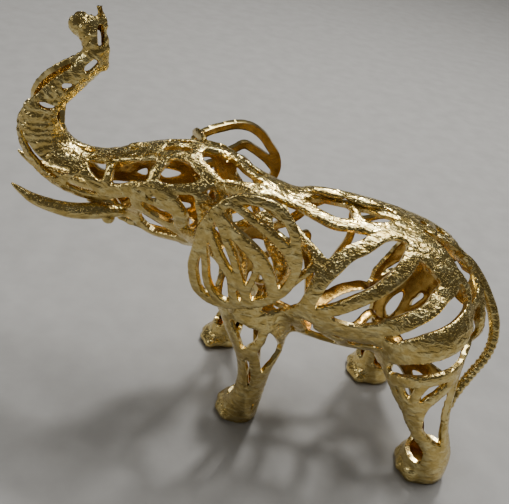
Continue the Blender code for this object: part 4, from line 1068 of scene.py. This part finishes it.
def bar(name, stations, broad=0.0, ribs=None):
    ob = swept(stations, steps=10, sides=0 if broad else 4, broad=broad)
    bm = bmesh.new()
    bm.from_mesh(ob.data)
    bpy.data.objects.remove(ob, do_unlink=True)
    bmesh.ops.remove_doubles(bm, verts=bm.verts, dist=0.00002)
    bmesh.ops.recalc_face_normals(bm, faces=bm.faces)
    if broad:
        sharp = [e for e in bm.edges if len(e.link_faces) == 2 and e.calc_face_angle() > SHARP]
        bmesh.ops.bevel(bm, geom=sharp, offset=ROUND_EDGE, affect='EDGES', segments=2, profile=0.5,
                        material=-1)
        long = [e for e in bm.edges if e.calc_length() > LONG_EDGE]
        bmesh.ops.subdivide_edges(bm, edges=long, cuts=1, use_grid_fill=True)
    bm.normal_update()
    line = smooth_line([place(s) for s in stations], steps=12)
    run = np.concatenate([[0], np.cumsum(np.linalg.norm(np.diff(line, axis=0), axis=1))])
    moves = []
    for v in bm.verts:
        depth = BAR_DENT * dents(v.co)
        if ribs:
            at = run[int(np.linalg.norm(line - np.array(v.co), axis=1).argmin())] / run[-1]
            wave = math.sin(2 * math.pi * at * run[-1] / TAIL_RIB_PITCH)
            depth += TAIL_RIB_DEPTH * (0.5 - 0.5 * wave) * min(1.0, max(0.0, (at - ribs) / RIBS_GROW))
        moves.append(v.normal * -depth)
    for v, move in zip(bm.verts, moves):
        v.co += move
    mesh = bpy.data.meshes.new(name)
    bm.to_mesh(mesh)
    bm.free()
    mesh.materials.append(OUTSIDE)
    return linked(name, mesh)


RISE = np.linspace(0, TUSK_RISE, len(TUSK))
LEADING_TUSK = [mirrored((x + TUSK_LEAD, y, z + up, r)) for (x, y, z, r), up in zip(TUSK, RISE)]
BARS = [bar("cast_tusk_left", TUSK), bar("cast_tusk_right", LEADING_TUSK)]
BARS += [bar("cast_tail", TAIL, ribs=TAIL_RIBS_FROM)]
BARS += [bar("cast_ear_root", root, broad=BROAD) for root in EAR_ROOTS]
print("bars:", [len(b.data.polygons) for b in BARS], "faces")

# %% Leaves and knobs
LEAF_DENT_SPREAD = 1.7    # a leaf's dents are this much closer together


def leaf(centre, size, tilt):
    """A small raised leaf on the ridge of the back or the brow, or a knob."""
    bm = bmesh.new()
    shape = Matrix.Translation(place(centre)) @ Matrix.Rotation(math.radians(tilt), 4, 'Y')
    shape = shape @ Matrix.Diagonal(Vector((*[s * UNIT for s in size], 1)))
    bmesh.ops.create_uvsphere(bm, u_segments=24, v_segments=14, radius=0.5, matrix=shape)
    bm.normal_update()
    moves = [v.normal * -dents(v.co * LEAF_DENT_SPREAD) for v in bm.verts]
    for v, move in zip(bm.verts, moves):
        v.co += move
    mesh = bpy.data.meshes.new("cast_leaf")
    bm.to_mesh(mesh)
    bm.free()
    mesh.materials.append(OUTSIDE)
    return linked("cast_leaf", mesh)


LEAF_FORMS = [leaf(*form) for form in LEAVES]
print("leaves and knobs:", len(LEAF_FORMS))

# %% [markdown]
# ## One casting
# The figure is one piece of metal, so all of its forms become one mesh. It moves to stand over the origin as
# the imported solid does, stays inside that solid's box, and takes its place. Each point gets its share of
# painted pit shade from how far it faces up.

# %% Join and hand over to the frame
LEAST_UPWARD, MOST_UPWARD = 0.35, 0.85     # heights of the normal between which the painted pit shade sets in
CREASE = math.radians(50)                  # edges sharper than this are shaded as edges


def one_casting(forms):
    bm = bmesh.new()
    for ob in forms:
        bm.from_mesh(ob.data)
        bpy.data.objects.remove(ob, do_unlink=True)
    bmesh.ops.translate(bm, verts=bm.verts, vec=-CENTRING)
    low, high = cad_box
    for v in bm.verts:
        v.co = [min(max(c, a), b) for c, a, b in zip(v.co, low, high)]
    bm.normal_update()
    # how far each point faces up, which sets how much painted pit shade it gets
    upward = bm.verts.layers.float.new("upward")
    for v in bm.verts:
        v[upward] = min(1.0, max(0.0, (v.normal.z - LEAST_UPWARD) / (MOST_UPWARD - LEAST_UPWARD)))
    for f in bm.faces:
        f.smooth = True
    for e in bm.edges:
        if len(e.link_faces) == 2 and e.calc_face_angle() > CREASE:
            e.smooth = False
    mesh = bpy.data.meshes.new("gold_elephant")
    for metal in (OUTSIDE, INSIDE, EDGE):
        mesh.materials.append(metal)
    bm.to_mesh(mesh)
    bm.free()
    return linked("gold_elephant", mesh)


ELEPHANT = one_casting([BODY] + EARS + BARS + LEAF_FORMS)
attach(ELEPHANT, "root")
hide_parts("elephant")
ELEPHANT.data.calc_loop_triangles()
print("casting:", len(ELEPHANT.data.loop_triangles), "triangles")
